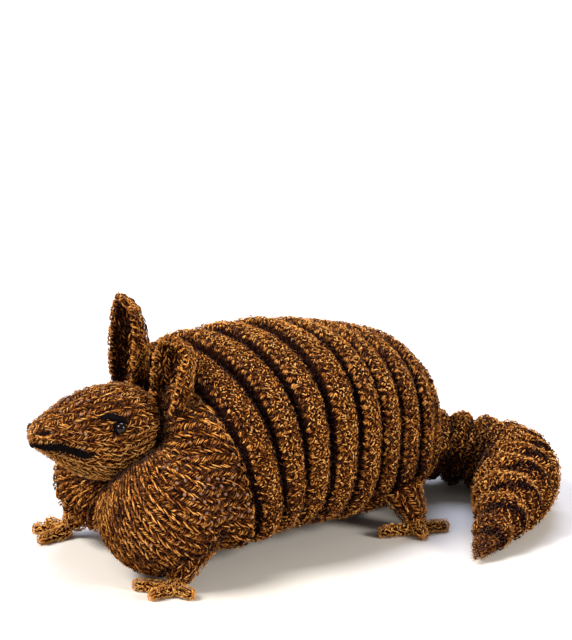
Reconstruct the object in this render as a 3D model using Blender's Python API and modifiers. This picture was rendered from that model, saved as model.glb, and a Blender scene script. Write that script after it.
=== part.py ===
"""A knitted, stuffed toy armadillo, standing with its tail curled round to its left side.

Lengths are in millimetres until a mesh is made, and metres from there on. The toy faces -Y, its left side
is +X, and it stands on the plane z = 0. It is laid out from a point under its body, then moved so that the
middle of its footprint is the origin. Every part is a closed solid, parted from its neighbours by thin gaps.
"""

import bpy
import bmesh
import math
import numpy as np
from mathutils import Matrix

MM = 0.001
GAP = 0.3

# The middle of the toy's footprint, which becomes the origin once every part is made.
MIDDLE = (13.86, 15.95)

# Rings of the trunk from the shoulder back: place along the body, height of the centre, half width,
# half height, and how far the ring leans forward at its top, in degrees.
TRUNK = np.array([
    (-19.7, 35.2, 41.0, 33.7, 17.0),
    (-8.3, 37.4, 40.8, 34.1, 11.0),
    (2.5, 38.4, 40.2, 33.6, 5.0),
    (14.0, 37.9, 39.4, 33.6, 0.0),
    (26.7, 36.5, 38.0, 33.3, -2.5),
    (36.5, 35.2, 36.8, 32.5, -3.0),
    (46.0, 33.8, 35.0, 31.4, -3.2),
    (56.0, 32.4, 32.2, 29.8, -2.5),
    (65.0, 30.9, 27.6, 26.7, -2.0),
    (73.0, 28.0, 19.0, 19.0, -2.0),
    (78.0, 25.0, 8.5, 9.0, -2.0),
])
SQUARENESS = 2.3
UNDER_SQUARENESS = 2.8
SIDES = 32

# The furrows between the shell's bands, by their place along the body.
FURROWS = (-19.7, -8.3, 2.5, 13.7, 26.7, 36.8, 45.8, 56.3, 66.0)
FURROW_DEPTH = 2.4
BAND_ROUNDNESS = 2.6
BAND_STEPS = (0.0, 0.16, 0.5, 0.84, 1.0)
RUMP_END = 78.0
RUMP_STEPS = (0.0, 0.16, 0.5, 0.8, 1.0)
CUTTER_RINGS = 16

# The shoulder swells into two lobes below the head, and is full low down on each flank: centre and radius.
LOBES = (
    ((20.0, -43.0, 23.2), 21.2),
    ((-18.5, -38.5, 22.8), 18.6),
    ((19.0, -16.0, 23.5), 18.4),
    ((-19.0, -16.0, 23.5), 18.4),
)
CORE_CENTRE = (0.0, -18.0, 35.0)
CORE_RADII = (38.5, 27.0, 31.0)
BLEND = 5.0
HEART = (0.0, -26.0, 34.0)
NECK_CENTRE = (0.0, -41.0, 47.0)
NECK_RADIUS = 11.0
NECK_LEAN = -32.0
SHOULDER_STEPS = 12
SHOULDER_CROWDING = 1.15
SHOULDER_REACH = 95.0
MARCH_STEPS = 60
MARCH_SHARE = 0.7
BACK_EDGE = 0.16
NECK_EDGE = 0.14

# Rings of the head from the nape to the nose: place, height, half width, half height.
HEAD = np.array([
    (-34.0, 48.5, 7.0, 7.0),
    (-38.0, 48.0, 11.6, 11.2),
    (-45.0, 47.3, 14.8, 14.6),
    (-53.0, 46.8, 15.8, 15.5),
    (-60.5, 47.3, 14.2, 14.0),
    (-67.5, 48.5, 11.2, 11.0),
    (-73.5, 49.7, 8.2, 7.8),
    (-78.0, 50.4, 5.4, 5.2),
    (-79.8, 50.6, 2.6, 2.6),
])
HEAD_SIDES = 28
HEAD_STEPS = 12

# Places on the head's skin: place along the head, and degrees above its middle on the left side.
EYE = (-54.9, 24.0)
EYE_RADIUS = 1.75
EYE_LIFT = 0.3
EYE_SEGMENTS = 12
EYE_RINGS = 8
EYELID = ((-61.5, 37.0), (-59.0, 41.0), (-56.5, 42.0), (-54.0, 38.5), (-52.4, 33.0), (-51.6, 28.0))
RIGHT_EYELID_DROP = 5.0
MOUTH = ((-62.6, -11.0), (-64.2, -17.0), (-68.2, -18.0), (-72.0, -20.0), (-75.2, -30.0), (-76.8, -55.0))
MOUTH_MIDDLE = (-77.0, -90.0)
THREAD_HALF_WIDTH = 0.9
THREAD_HALF_HEIGHT = 0.45
THREAD_LIFT = 0.38
THREAD_END = 0.55
THREAD_SIDES = 8

# The ears are cupped leaves: foot, upward axis, the way the hollow faces, height, and half width.
EARS = {
    "ear_right": ((-11.0, -36.2, 52.0), (0.0, 0.03, 1.0), (0.0, -1.0, 0.0), 36.4, 7.1),
    "ear_left": ((11.5, -35.6, 54.5), (0.02, 0.13, 1.0), (0.0, -1.0, 0.0), 24.5, 7.6),
}
EAR_THICKNESS = 2.0
EAR_CURL = 105.0
EAR_UNCURL = 0.35
EAR_BOW = 0.1
EAR_SHAPE = ((0.0, 0.64), (0.22, 0.9), (0.58, 1.0), (0.8, 0.9), (0.93, 0.64), (1.0, 0.32))
EAR_ROWS = 8
EAR_COLUMNS = 9

# The tail's middle line and radius, from inside the rump to the tip.
TAIL = np.array([
    (0.0, 70.0, 19.0, 11.5),
    (2.0, 82.0, 16.0, 12.0),
    (9.0, 94.0, 13.0, 12.6),
    (22.0, 99.5, 12.6, 12.8),
    (38.8, 92.6, 13.2, 13.6),
    (51.2, 79.2, 12.6, 13.2),
    (60.5, 65.0, 9.2, 9.6),
    (69.2, 50.2, 3.4, 3.8),
    (70.6, 47.9, 2.4, 1.2),
])
TAIL_PARTS = (("tail_base", 0.0, 0.34), ("tail_middle", 0.34, 0.67), ("tail_tip", 0.67, 1.0))
TAIL_SIDES = 16
TAIL_STEPS = 8
TAIL_WELTS = 11
WELT_DEPTH = 0.9
WELT_FULL_RADIUS = 9.0
TAIL_PROBE = 0.01

# Each leg: its top, its ankle, and the ends of its toes, which rest on the floor.
LEGS = {
    "front_left": (
        (29.5, -34.5, 15.0), (34.4, -47.0, 5.2),
        ((23.8, -57.0), (35.4, -58.4), (43.4, -46.6)),
    ),
    "front_right": (
        (-25.0, -36.0, 15.0), (-29.5, -47.0, 5.2),
        ((-40.2, -55.4), (-29.0, -60.4), (-42.6, -48.0)),
    ),
    "hind_left": (
        (31.0, 47.0, 16.0), (35.5, 50.2, 5.2),
        ((32.6, 36.8), (43.6, 47.5), (40.6, 60.4)),
    ),
    "hind_right": (
        (-31.0, 47.0, 16.0), (-35.5, 50.2, 5.2),
        ((-33.6, 36.6), (-44.6, 46.5), (-40.0, 60.8)),
    ),
}
LEG_TOP_RADIUS = 7.4
ANKLE_RADIUS = 4.2
TOE_RADIUS = 2.1
TOE_STEPS = ((0.0, 1.25), (0.3, 1.15), (0.65, 1.0), (0.9, 0.92), (1.0, 0.5))
TOE_ROOT_HEIGHT = 3.2
TOE_FALL = 5.0
SOLE_SINK = 0.35
FOOT_DEPTH = 1.2
HEEL_AHEAD = 2.5
HEEL_HEIGHT = 1.6
HEEL_RADIUS = 3.0
TOE_CLEARANCE = 1.5 * GAP

KNIT_BROWN = (0.125, 0.060, 0.022)
BEAD_BROWN = (0.018, 0.008, 0.005)
THREAD_BLACK = (0.006, 0.006, 0.007)


def clear_scene():
    for obj in list(bpy.data.objects):
        bpy.data.objects.remove(obj, do_unlink=True)


def new_collection(name):
    group = bpy.data.collections.new(name)
    bpy.context.scene.collection.children.link(group)
    return group


def new_material(name, colour, roughness):
    material = bpy.data.materials.new(name)
    material.use_nodes = True
    shader = material.node_tree.nodes["Principled BSDF"]
    shader.inputs["Base Color"].default_value = (*colour, 1.0)
    shader.inputs["Roughness"].default_value = roughness
    return material


def glide(table, column, at):
    """The value of one column of a table at each place, on a smooth curve through the table's rows."""
    knots = table[:, 0]
    values = table[:, column]
    slopes = np.gradient(values, knots)
    at = np.clip(at, min(knots), max(knots))
    order = np.argsort(knots)
    knots, values, slopes = knots[order], values[order], slopes[order]
    i = np.clip(np.searchsorted(knots, at) - 1, 0, len(knots) - 2)
    span = knots[i + 1] - knots[i]
    t = (at - knots[i]) / span
    rise = t * t * (3.0 - 2.0 * t)
    start = t * (1.0 - t) ** 2 * span * slopes[i]
    end = t * t * (t - 1.0) * span * slopes[i + 1]
    return values[i] * (1.0 - rise) + values[i + 1] * rise + start + end


def ring(place, height, half_width, half_height, lean, sides, squareness=2.0, under=2.0):
    """A ring of points round the body, leaning about X: an oval with one squareness above and one below."""
    angle = np.linspace(0.0, 2.0 * math.pi, sides, endpoint=False)
    power = np.where(np.sin(angle) < 0.0, 2.0 / under, 2.0 / squareness)
    across = np.sign(np.cos(angle)) * np.abs(np.cos(angle)) ** power
    up = np.sign(np.sin(angle)) * np.abs(np.sin(angle)) ** power
    tilt = math.radians(lean)
    return np.stack([
        half_width * across,
        place - math.sin(tilt) * half_height * up,
        height + math.cos(tilt) * half_height * up,
    ], axis=1)


def trunk_ring(place, shrink=0.0, shift=0.0):
    height, width, tall, lean = (float(glide(TRUNK, column, place)) for column in (1, 2, 3, 4))
    width, tall = width - shrink, tall - shrink
    return ring(place + shift, height, width, tall, lean, SIDES, SQUARENESS, UNDER_SQUARENESS)


def loft(name, rings, material, group, flat_bottom=False):
    """A closed solid through rings of equal length, with a flat cap on each end."""
    mesh = bpy.data.meshes.new(name)
    work = bmesh.new()
    rows = []
    for points in rings:
        row = []
        for x, y, z in points:
            row.append(work.verts.new((x * MM, y * MM, (max(z, 0.0) if flat_bottom else z) * MM)))
        rows.append(row)
    for near, far in zip(rows, rows[1:]):
        for i in range(len(near)):
            j = (i + 1) % len(near)
            work.faces.new((near[i], near[j], far[j], far[i]))
    work.faces.new(rows[0])
    work.faces.new(rows[-1])
    bmesh.ops.recalc_face_normals(work, faces=work.faces)
    work.to_mesh(mesh)
    work.free()
    return place_object(name, mesh, material, group)


def place_object(name, mesh, material, group):
    obj = bpy.data.objects.new(name, mesh)
    group.objects.link(obj)
    obj.data.materials.append(material)
    mesh.shade_smooth()
    mesh.set_sharp_from_angle(angle=math.radians(50.0))
    return obj


def make_cutter(obj):
    obj.hide_render = True
    obj.display_type = "WIRE"


def combine(obj, other, operation):
    modifier = obj.modifiers.new(operation.lower(), "BOOLEAN")
    modifier.operation = operation
    modifier.object = other


def join_distance(first, second):
    """The distance to two rounded shapes that melt together where they meet."""
    h = np.clip(0.5 + 0.5 * (second - first) / BLEND, 0.0, 1.0)
    return second + (first - second) * h - BLEND * h * (1.0 - h)


def shoulder_distance(points):
    """About how far points lie outside the shoulder's core and its two lobes."""
    scaled = (points - np.array(CORE_CENTRE)) / np.array(CORE_RADII)
    length = np.linalg.norm(scaled, axis=-1)
    steep = np.linalg.norm(scaled / np.array(CORE_RADII), axis=-1)
    distance = length * (length - 1.0) / steep
    for centre, radius in LOBES:
        distance = join_distance(distance, np.linalg.norm(points - np.array(centre), axis=-1) - radius)
    return distance


def smooth_step(value):
    value = min(max(value, 0.0), 1.0)
    return value * value * (3.0 - 2.0 * value)


def shoulder_rings(grow=0.0):
    """Rings from the first furrow forward over the lobes to the neck, each point at the shoulder's skin."""
    heart = np.array(HEART)
    back = trunk_ring(FURROWS[0], FURROW_DEPTH, -0.5 * GAP) - heart
    angle = np.linspace(0.0, 2.0 * math.pi, SIDES, endpoint=False)[:, None]
    lean = math.radians(NECK_LEAN)
    upward = np.array((0.0, -math.sin(lean), math.cos(lean)))
    neck = np.array(NECK_CENTRE) - heart
    neck = neck + NECK_RADIUS * (np.cos(angle) * np.array((1.0, 0.0, 0.0)) + np.sin(angle) * upward)
    back_reach = np.linalg.norm(back, axis=1)
    neck_reach = np.linalg.norm(neck, axis=1)
    back_way = back / back_reach[:, None]
    neck_way = neck / neck_reach[:, None]
    turn = np.arccos(np.clip(np.sum(back_way * neck_way, axis=1), -1.0, 1.0))[:, None]
    rings = []
    for step in range(SHOULDER_STEPS + 1):
        t = (step / SHOULDER_STEPS) ** SHOULDER_CROWDING
        way = (np.sin((1.0 - t) * turn) * back_way + np.sin(t * turn) * neck_way) / np.sin(turn)
        reach = np.full(SIDES, SHOULDER_REACH)
        for _ in range(MARCH_STEPS):
            reach = reach - MARCH_SHARE * shoulder_distance(heart + reach[:, None] * way)
        off_back = smooth_step(t / BACK_EDGE)
        at_neck = smooth_step((t - 1.0 + NECK_EDGE) / NECK_EDGE)
        reach = back_reach * (1.0 - off_back) + reach * off_back
        reach = reach * (1.0 - at_neck) + neck_reach * at_neck + grow
        rings.append(heart + reach[:, None] * way)
    return rings


def band_rings(front, back, steps):
    """Rings across one band, lowest at its furrows and highest half way between them."""
    rings = []
    for step in steps:
        place = front + (back - front) * step
        away = abs(2.0 * step - 1.0)
        shift = 0.5 * GAP * (1.0 - 2.0 * step)
        rings.append(trunk_ring(place, FURROW_DEPTH * away ** BAND_ROUNDNESS, shift))
    return rings


def rump_rings(grow=0.0):
    """The last band and the dome that closes the trunk."""
    rings = []
    for step in RUMP_STEPS:
        place = FURROWS[-1] + (RUMP_END - FURROWS[-1]) * step
        shrink = FURROW_DEPTH * max(0.0, 1.0 - 4.0 * step) - grow
        rings.append(trunk_ring(place, shrink, 0.5 * GAP * (1.0 - step) + grow * step))
    return rings


def head_rings(grow=0.0):
    nape, nose = HEAD[0, 0] + grow, HEAD[-1, 0] - grow
    rings = []
    for step in range(HEAD_STEPS + 1):
        place = nape + (nose - nape) * (0.5 - 0.5 * math.cos(math.pi * step / HEAD_STEPS))
        height, width, tall = (float(glide(HEAD, column, place)) for column in (1, 2, 3))
        rings.append(ring(place, height, width + grow, tall + grow, 0.0, HEAD_SIDES))
    return rings


def head_skin(place, degrees, side):
    """A point of the head's skin and the way out of it there, on the left (1) or the right (-1)."""
    height, width, tall = (float(glide(HEAD, column, place)) for column in (1, 2, 3))
    ahead = [float(glide(HEAD, 2, place + step)) for step in (-0.5, 0.5)]
    slope = ahead[0] - ahead[1]
    angle = math.radians(degrees)
    point = np.array((side * width * math.cos(angle), place, height + tall * math.sin(angle)))
    out = np.array((side * math.cos(angle), slope, math.sin(angle)))
    return point, out / np.linalg.norm(out)


def thread_rings(skin_points):
    """A low, rounded ridge of satin stitches along points of the skin, its ends drawn in."""
    points = np.array([point for point, _ in skin_points])
    outs = np.array([out for _, out in skin_points])
    runs = np.gradient(points, axis=0)
    angle = np.linspace(0.0, 2.0 * math.pi, THREAD_SIDES, endpoint=False)[:, None]
    rings = []
    for i, (point, out, run) in enumerate(zip(points, outs, runs)):
        run = run / np.linalg.norm(run)
        side = np.cross(run, out)
        side = side / np.linalg.norm(side)
        out = np.cross(side, run)
        half_width = THREAD_HALF_WIDTH * (THREAD_END if i in (0, len(points) - 1) else 1.0)
        centre = point + out * (THREAD_LIFT + THREAD_HALF_HEIGHT)
        rings.append(centre + half_width * np.cos(angle) * side + THREAD_HALF_HEIGHT * np.sin(angle) * out)
    return rings


def ear_object(name, material, group):
    foot, axis, facing, height, half_width = EARS[name]
    axis = np.array(axis) / np.linalg.norm(axis)
    facing = np.array(facing) - axis * np.dot(np.array(facing), axis)
    facing = facing / np.linalg.norm(facing)
    across = np.cross(facing, axis)
    shape = np.array(EAR_SHAPE)
    mesh = bpy.data.meshes.new(name)
    work = bmesh.new()
    rows = []
    for i in range(EAR_ROWS + 1):
        t = i / EAR_ROWS
        radius = half_width * float(glide(shape, 1, t))
        curl = math.radians(EAR_CURL) * (1.0 - EAR_UNCURL * t * t)
        row = []
        for k in range(EAR_COLUMNS + 1):
            angle = curl * (2.0 * k / EAR_COLUMNS - 1.0)
            point = np.array(foot) + axis * height * t + facing * (EAR_BOW * height * t * t)
            point = point + radius * (math.sin(angle) * across - math.cos(angle) * facing)
            row.append(work.verts.new(tuple(point * MM)))
        rows.append(row)
    for low, high in zip(rows, rows[1:]):
        for k in range(EAR_COLUMNS):
            work.faces.new((low[k], low[k + 1], high[k + 1], high[k]))
    bmesh.ops.recalc_face_normals(work, faces=work.faces)
    work.to_mesh(mesh)
    work.free()
    obj = place_object(name, mesh, material, group)
    thicken = obj.modifiers.new("thickness", "SOLIDIFY")
    thicken.thickness = EAR_THICKNESS * MM
    thicken.offset = 0.0
    return obj


def tube_object(name, points, radii, material, group, resolution=2):
    """A tapering tube through points, made a closed mesh, flat where it would pass below the floor."""
    curve = bpy.data.curves.new(name, "CURVE")
    curve.dimensions = "3D"
    curve.bevel_depth = MM
    curve.bevel_resolution = resolution
    curve.use_fill_caps = True
    spline = curve.splines.new("POLY")
    spline.points.add(len(points) - 1)
    for knot, point, radius in zip(spline.points, points, radii):
        knot.co = (point[0] * MM, point[1] * MM, point[2] * MM, 1.0)
        knot.radius = radius
    drawn = bpy.data.objects.new(name + "_line", curve)
    group.objects.link(drawn)
    graph = bpy.context.evaluated_depsgraph_get()
    mesh = bpy.data.meshes.new_from_object(drawn.evaluated_get(graph))
    bpy.data.objects.remove(drawn, do_unlink=True)
    work = bmesh.new()
    work.from_mesh(mesh)
    bmesh.ops.remove_doubles(work, verts=work.verts, dist=1e-6)
    for vert in work.verts:
        vert.co.z = max(vert.co.z, 0.0)
    bmesh.ops.recalc_face_normals(work, faces=work.faces)
    work.to_mesh(mesh)
    work.free()
    mesh.materials.clear()
    return place_object(name, mesh, material, group)


def toe_line(ankle, end):
    """A toe runs from under the ankle, down to the floor and out to its rounded end."""
    start = np.array((ankle[0], ankle[1], TOE_ROOT_HEIGHT))
    tip = np.array((end[0], end[1], TOE_RADIUS - SOLE_SINK))
    points = []
    for t, _ in TOE_STEPS:
        point = start + (tip - start) * t
        point[2] = max(tip[2], start[2] - TOE_FALL * t)
        points.append(point)
    return points, [TOE_RADIUS * share for _, share in TOE_STEPS]


def tail_frames(start, stop):
    """Points, radii and directions of the tail's middle line between two shares of its length."""
    steps = np.linalg.norm(np.diff(TAIL[:, :3], axis=0), axis=1)
    along = np.concatenate([[0.0], np.cumsum(steps)]) / np.sum(steps)
    table = np.column_stack([along, TAIL])
    at = np.linspace(start, stop, TAIL_STEPS + 1)
    points = np.stack([glide(table, column, at) for column in (1, 2, 3)], axis=1)
    ahead = np.stack([glide(table, column, at + TAIL_PROBE) for column in (1, 2, 3)], axis=1)
    behind = np.stack([glide(table, column, at - TAIL_PROBE) for column in (1, 2, 3)], axis=1)
    runs = ahead - behind
    runs = runs / np.linalg.norm(runs, axis=1)[:, None]
    radii = glide(table, 4, at)
    furrow = np.abs(np.cos(math.pi * at * TAIL_WELTS)) ** 3
    radii = radii - WELT_DEPTH * furrow * np.minimum(1.0, radii / WELT_FULL_RADIUS)
    return points, radii, runs


def tail_rings(start, stop):
    points, radii, runs = tail_frames(start, stop)
    if start > 0.0:
        points[0] = points[0] + runs[0] * 0.5 * GAP
    if stop < 1.0:
        points[-1] = points[-1] - runs[-1] * 0.5 * GAP
    angle = np.linspace(0.0, 2.0 * math.pi, TAIL_SIDES, endpoint=False)[:, None]
    rings = []
    for point, radius, run in zip(points, radii, runs):
        side = np.cross(run, (0.0, 0.0, 1.0))
        side = side / np.linalg.norm(side)
        upward = np.cross(side, run)
        rings.append(point + radius * (np.cos(angle) * side + np.sin(angle) * upward))
    return rings


def make_trunk(parts, cutters, knit):
    for i, (front, back) in enumerate(zip(FURROWS, FURROWS[1:])):
        loft(f"band_{i + 1}", band_rings(front, back, BAND_STEPS), knit, parts)
    loft("rump", rump_rings(), knit, parts)
    shoulder = loft("shoulder", shoulder_rings(), knit, parts)
    grown_head = loft("grown_head", head_rings(GAP), knit, cutters)
    make_cutter(grown_head)
    combine(shoulder, grown_head, "DIFFERENCE")
    grown_shoulder = loft("grown_shoulder", shoulder_rings(GAP), knit, cutters)
    make_cutter(grown_shoulder)
    places = np.linspace(FURROWS[0] - 1.0, RUMP_END, CUTTER_RINGS)
    grown_trunk = loft("grown_trunk", [trunk_ring(place, -GAP) for place in places], knit, cutters)
    make_cutter(grown_trunk)
    return grown_head, grown_shoulder, grown_trunk


def make_head(parts, grown_head, knit, bead, thread):
    loft("head", head_rings(), knit, parts)
    for side, name in ((1.0, "left"), (-1.0, "right")):
        point, out = head_skin(*EYE, side)
        centre = (point + out * EYE_LIFT) * MM
        mesh = bpy.data.meshes.new(f"eye_{name}")
        work = bmesh.new()
        bmesh.ops.create_uvsphere(work, u_segments=EYE_SEGMENTS, v_segments=EYE_RINGS, radius=EYE_RADIUS * MM)
        bmesh.ops.translate(work, verts=work.verts, vec=tuple(centre))
        work.to_mesh(mesh)
        work.free()
        eye = place_object(f"eye_{name}", mesh, bead, parts)
        combine(eye, grown_head, "DIFFERENCE")
        drop = RIGHT_EYELID_DROP if side < 0.0 else 0.0
        lid = [head_skin(place, degrees - drop, side) for place, degrees in EYELID]
        loft(f"eyelid_{name}", thread_rings(lid), thread, parts)
    left = [head_skin(place, degrees, 1.0) for place, degrees in MOUTH]
    right = [head_skin(place, degrees, -1.0) for place, degrees in MOUTH]
    middle = head_skin(*MOUTH_MIDDLE, 1.0)
    loft("mouth", thread_rings([*left, middle, *reversed(right)]), thread, parts)


def make_ears(parts, neighbours, knit):
    for name in EARS:
        ear = ear_object(name, knit, parts)
        for neighbour in neighbours:
            combine(ear, neighbour, "DIFFERENCE")


def make_legs(parts, cutters, grown_shoulder, grown_trunk, knit):
    for name, (top, ankle, toes) in LEGS.items():
        top, ankle = np.array(top), np.array(ankle)
        fall = (ankle - top) / np.linalg.norm(ankle - top)
        points = [top, top + (ankle - top) * 0.5, ankle - fall * GAP]
        radii = [LEG_TOP_RADIUS, 0.5 * (LEG_TOP_RADIUS + ANKLE_RADIUS), ANKLE_RADIUS]
        leg = tube_object(f"leg_{name}", points, radii, knit, parts)
        combine(leg, grown_shoulder if "front" in name else grown_trunk, "DIFFERENCE")
        sole = ankle + fall * FOOT_DEPTH
        heel = ankle + fall * HEEL_AHEAD
        heel[2] = HEEL_HEIGHT
        radii = [ANKLE_RADIUS, ANKLE_RADIUS, HEEL_RADIUS]
        foot = tube_object(f"foot_{name}", [ankle, sole, heel], radii, knit, parts)
        for i, end in enumerate(toes):
            points, radii = toe_line(sole, end)
            toe = tube_object(f"toe_{name}_{i + 1}", points, radii, knit, cutters, 1)
            make_cutter(toe)
            combine(foot, toe, "UNION")
            wider = [radius + TOE_CLEARANCE for radius in radii]
            clearance = tube_object(f"clearance_{name}_{i + 1}", points, wider, knit, cutters, 1)
            make_cutter(clearance)
            combine(leg, clearance, "DIFFERENCE")


def make_tail(parts, cutters, knit):
    grown_rump = loft("grown_rump", rump_rings(GAP), knit, cutters)
    make_cutter(grown_rump)
    for name, start, stop in TAIL_PARTS:
        piece = loft(name, tail_rings(start, stop), knit, parts, flat_bottom=True)
        if start == 0.0:
            combine(piece, grown_rump, "DIFFERENCE")


def centre_on_footprint():
    shift = Matrix.Translation((-MIDDLE[0] * MM, -MIDDLE[1] * MM, 0.0))
    for obj in bpy.data.objects:
        obj.data.transform(shift)


def main():
    clear_scene()
    parts = new_collection("toy_armadillo")
    cutters = new_collection("cutters")
    knit = new_material("brown_tweed_knit", KNIT_BROWN, 0.95)
    bead = new_material("dark_bead", BEAD_BROWN, 0.12)
    thread = new_material("black_thread", THREAD_BLACK, 0.8)
    grown_head, grown_shoulder, grown_trunk = make_trunk(parts, cutters, knit)
    make_head(parts, grown_head, knit, bead, thread)
    make_ears(parts, (grown_head, grown_shoulder, grown_trunk), knit)
    make_legs(parts, cutters, grown_shoulder, grown_trunk, knit)
    make_tail(parts, cutters, knit)
    centre_on_footprint()


main()
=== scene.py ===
"""The looks of the knitted toy armadillo: tweed stitches over stuffing, bead eyes and black embroidery.

Lengths are in millimetres until a mesh is made, and metres from there on. The toy faces -Y and its left side
is +X. As in the solids, it is laid out from a point under its body, and MIDDLE moves it onto the frame's
origin.
"""

import math

import bpy
import numpy as np
from mathutils import Matrix, Vector


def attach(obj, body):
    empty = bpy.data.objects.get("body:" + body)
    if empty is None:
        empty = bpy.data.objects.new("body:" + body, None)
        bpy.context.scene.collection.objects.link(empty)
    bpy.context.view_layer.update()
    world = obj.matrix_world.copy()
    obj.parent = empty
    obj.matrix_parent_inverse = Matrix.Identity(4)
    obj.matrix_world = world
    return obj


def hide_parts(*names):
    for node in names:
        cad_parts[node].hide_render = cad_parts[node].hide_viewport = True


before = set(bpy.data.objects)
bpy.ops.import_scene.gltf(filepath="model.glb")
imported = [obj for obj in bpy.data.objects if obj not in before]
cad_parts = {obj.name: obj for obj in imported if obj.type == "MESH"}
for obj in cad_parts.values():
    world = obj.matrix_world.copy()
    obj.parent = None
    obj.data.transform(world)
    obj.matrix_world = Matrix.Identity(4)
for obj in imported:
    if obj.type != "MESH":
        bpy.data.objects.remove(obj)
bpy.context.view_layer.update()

MM = 0.001
MIDDLE = np.array((13.86, 15.95, 0.0))
TURN = 2.0 * math.pi
rng = np.random.default_rng(20)


def normal(*shape):
    return rng.normal(0.0, 1.0, shape)


# ---------------------------------------------------------------- the toy's form, as in the solids

# Trunk: place along the body, height of the centre, half width, half height, forward lean in degrees.
TRUNK = np.array([
    (-19.7, 35.2, 41.0, 33.7, 17.0),
    (-8.3, 37.4, 40.8, 34.1, 11.0),
    (2.5, 38.4, 40.2, 33.6, 5.0),
    (14.0, 37.9, 39.4, 33.6, 0.0),
    (26.7, 36.5, 38.0, 33.3, -2.5),
    (36.5, 35.2, 36.8, 32.5, -3.0),
    (46.0, 33.8, 35.0, 31.4, -3.2),
    (56.0, 32.4, 32.2, 29.8, -2.5),
    (65.0, 30.9, 27.6, 26.7, -2.0),
    (73.0, 28.0, 19.0, 19.0, -2.0),
    (78.0, 25.0, 8.5, 9.0, -2.0),
])
SQUARENESS = 2.3
UNDER_SQUARENESS = 2.8
FURROWS = (-19.7, -8.3, 2.5, 13.7, 26.7, 36.8, 45.8, 56.3, 66.0)
RUMP_END = 78.0

LOBES = (
    ((20.0, -43.0, 23.2), 21.2),
    ((-18.5, -38.5, 22.8), 18.6),
    ((19.0, -16.0, 23.5), 18.4),
    ((-19.0, -16.0, 23.5), 18.4),
)
CORE_CENTRE = np.array((0.0, -18.0, 35.0))
CORE_RADII = np.array((38.5, 27.0, 31.0))
BLEND = 5.0
HEART = np.array((0.0, -26.0, 34.0))
NECK_CENTRE = np.array((0.0, -41.0, 47.0))
NECK_RADIUS = 11.0
NECK_LEAN = -32.0

# Head: place, height, half width, half height.
HEAD = np.array([
    (-34.0, 48.5, 7.0, 7.0),
    (-38.0, 48.0, 11.6, 11.2),
    (-45.0, 47.3, 14.8, 14.6),
    (-53.0, 46.8, 15.8, 15.5),
    (-60.5, 47.3, 14.2, 14.0),
    (-67.5, 48.5, 11.2, 10.9),
    (-73.5, 49.7, 7.7, 7.0),
    (-78.0, 50.5, 4.5, 4.1),
    (-79.6, 50.7, 1.9, 1.8),
])

# Places on the head's skin: place along the head, and degrees above its middle.
EYE = (-55.2, 22.5)
EYE_RADIUS = 1.95
EYELID = (
    (-60.5, 38.0), (-58.5, 40.0), (-57.5, 39.0), (-56.5, 37.0),
    (-55.0, 34.0), (-54.0, 32.0), (-53.0, 29.0), (-52.0, 26.0),
)
RIGHT_EYELID_DROP = 5.0
MOUTH = (
    (-64.5, -12.0), (-65.5, -15.0), (-66.5, -16.0), (-68.0, -16.0), (-70.5, -15.0), (-72.5, -14.0),
    (-74.5, -16.0), (-76.5, -23.0), (-77.5, -31.0), (-78.5, -40.0), (-79.0, -53.0), (-79.5, -70.0),
)
MOUTH_MIDDLE = (-79.5, -90.0)
RIGHT_MOUTH = MOUTH[:7] + ((-76.0, -24.0), (-77.0, -38.0), (-78.0, -55.0), (-79.0, -74.0))

# Ears: foot, upward axis, the way the hollow faces, height, half width.
EARS = {
    "ear_right": ((-11.0, -36.2, 52.0), (0.0, 0.03, 1.0), (0.0, -1.0, 0.0), 35.8, 7.1),
    "ear_left": ((12.2, -35.8, 54.5), (0.02, 0.13, 1.0), (0.0, -1.0, 0.0), 23.6, 7.5),
}
EAR_CURL = 105.0
# How wide an ear is at each height, as a share of its half width.
EAR_SHAPES = {
    "ear_right": np.array(((0.0, 0.64), (0.22, 0.9), (0.58, 1.0), (0.8, 0.88), (0.93, 0.6), (1.0, 0.2))),
    "ear_left": np.array(((0.0, 0.64), (0.22, 0.9), (0.58, 1.0), (0.8, 1.06), (0.93, 0.86), (1.0, 0.4))),
}

# Tail: the points and radii of its middle line.
TAIL = np.array([
    (0.0, 70.0, 19.0, 11.5),
    (2.0, 82.0, 16.0, 12.0),
    (9.0, 94.0, 13.0, 12.6),
    (22.0, 99.5, 12.6, 12.8),
    (38.8, 92.6, 13.2, 13.6),
    (51.2, 79.2, 12.6, 13.2),
    (61.2, 66.0, 9.2, 9.0),
    (69.6, 51.0, 3.6, 3.6),
    (71.4, 47.4, 2.2, 1.4),
])

# Legs: top, ankle, toe ends.
LEGS = {
    "front_left": (
        (29.5, -34.5, 15.0), (34.4, -47.0, 5.2), ((23.8, -57.0), (35.4, -58.4), (43.4, -46.6)),
    ),
    "front_right": (
        (-25.0, -36.0, 15.0), (-29.5, -47.0, 5.2), ((-40.2, -55.4), (-29.0, -60.4), (-42.6, -48.0)),
    ),
    "hind_left": (
        (31.0, 47.0, 16.0), (35.5, 50.2, 5.2), ((32.6, 36.8), (43.6, 47.5), (40.6, 60.4)),
    ),
    "hind_right": (
        (-31.0, 47.0, 16.0), (-35.5, 50.2, 5.2), ((-33.6, 36.6), (-44.6, 46.5), (-40.0, 60.8)),
    ),
}
LEG_TOP_RADIUS = 7.4
ANKLE_RADIUS = 4.2
TOE_RADIUS = 2.1
TOE_ROOT_HEIGHT = 3.2
SOLE_SINK = 0.35


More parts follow.
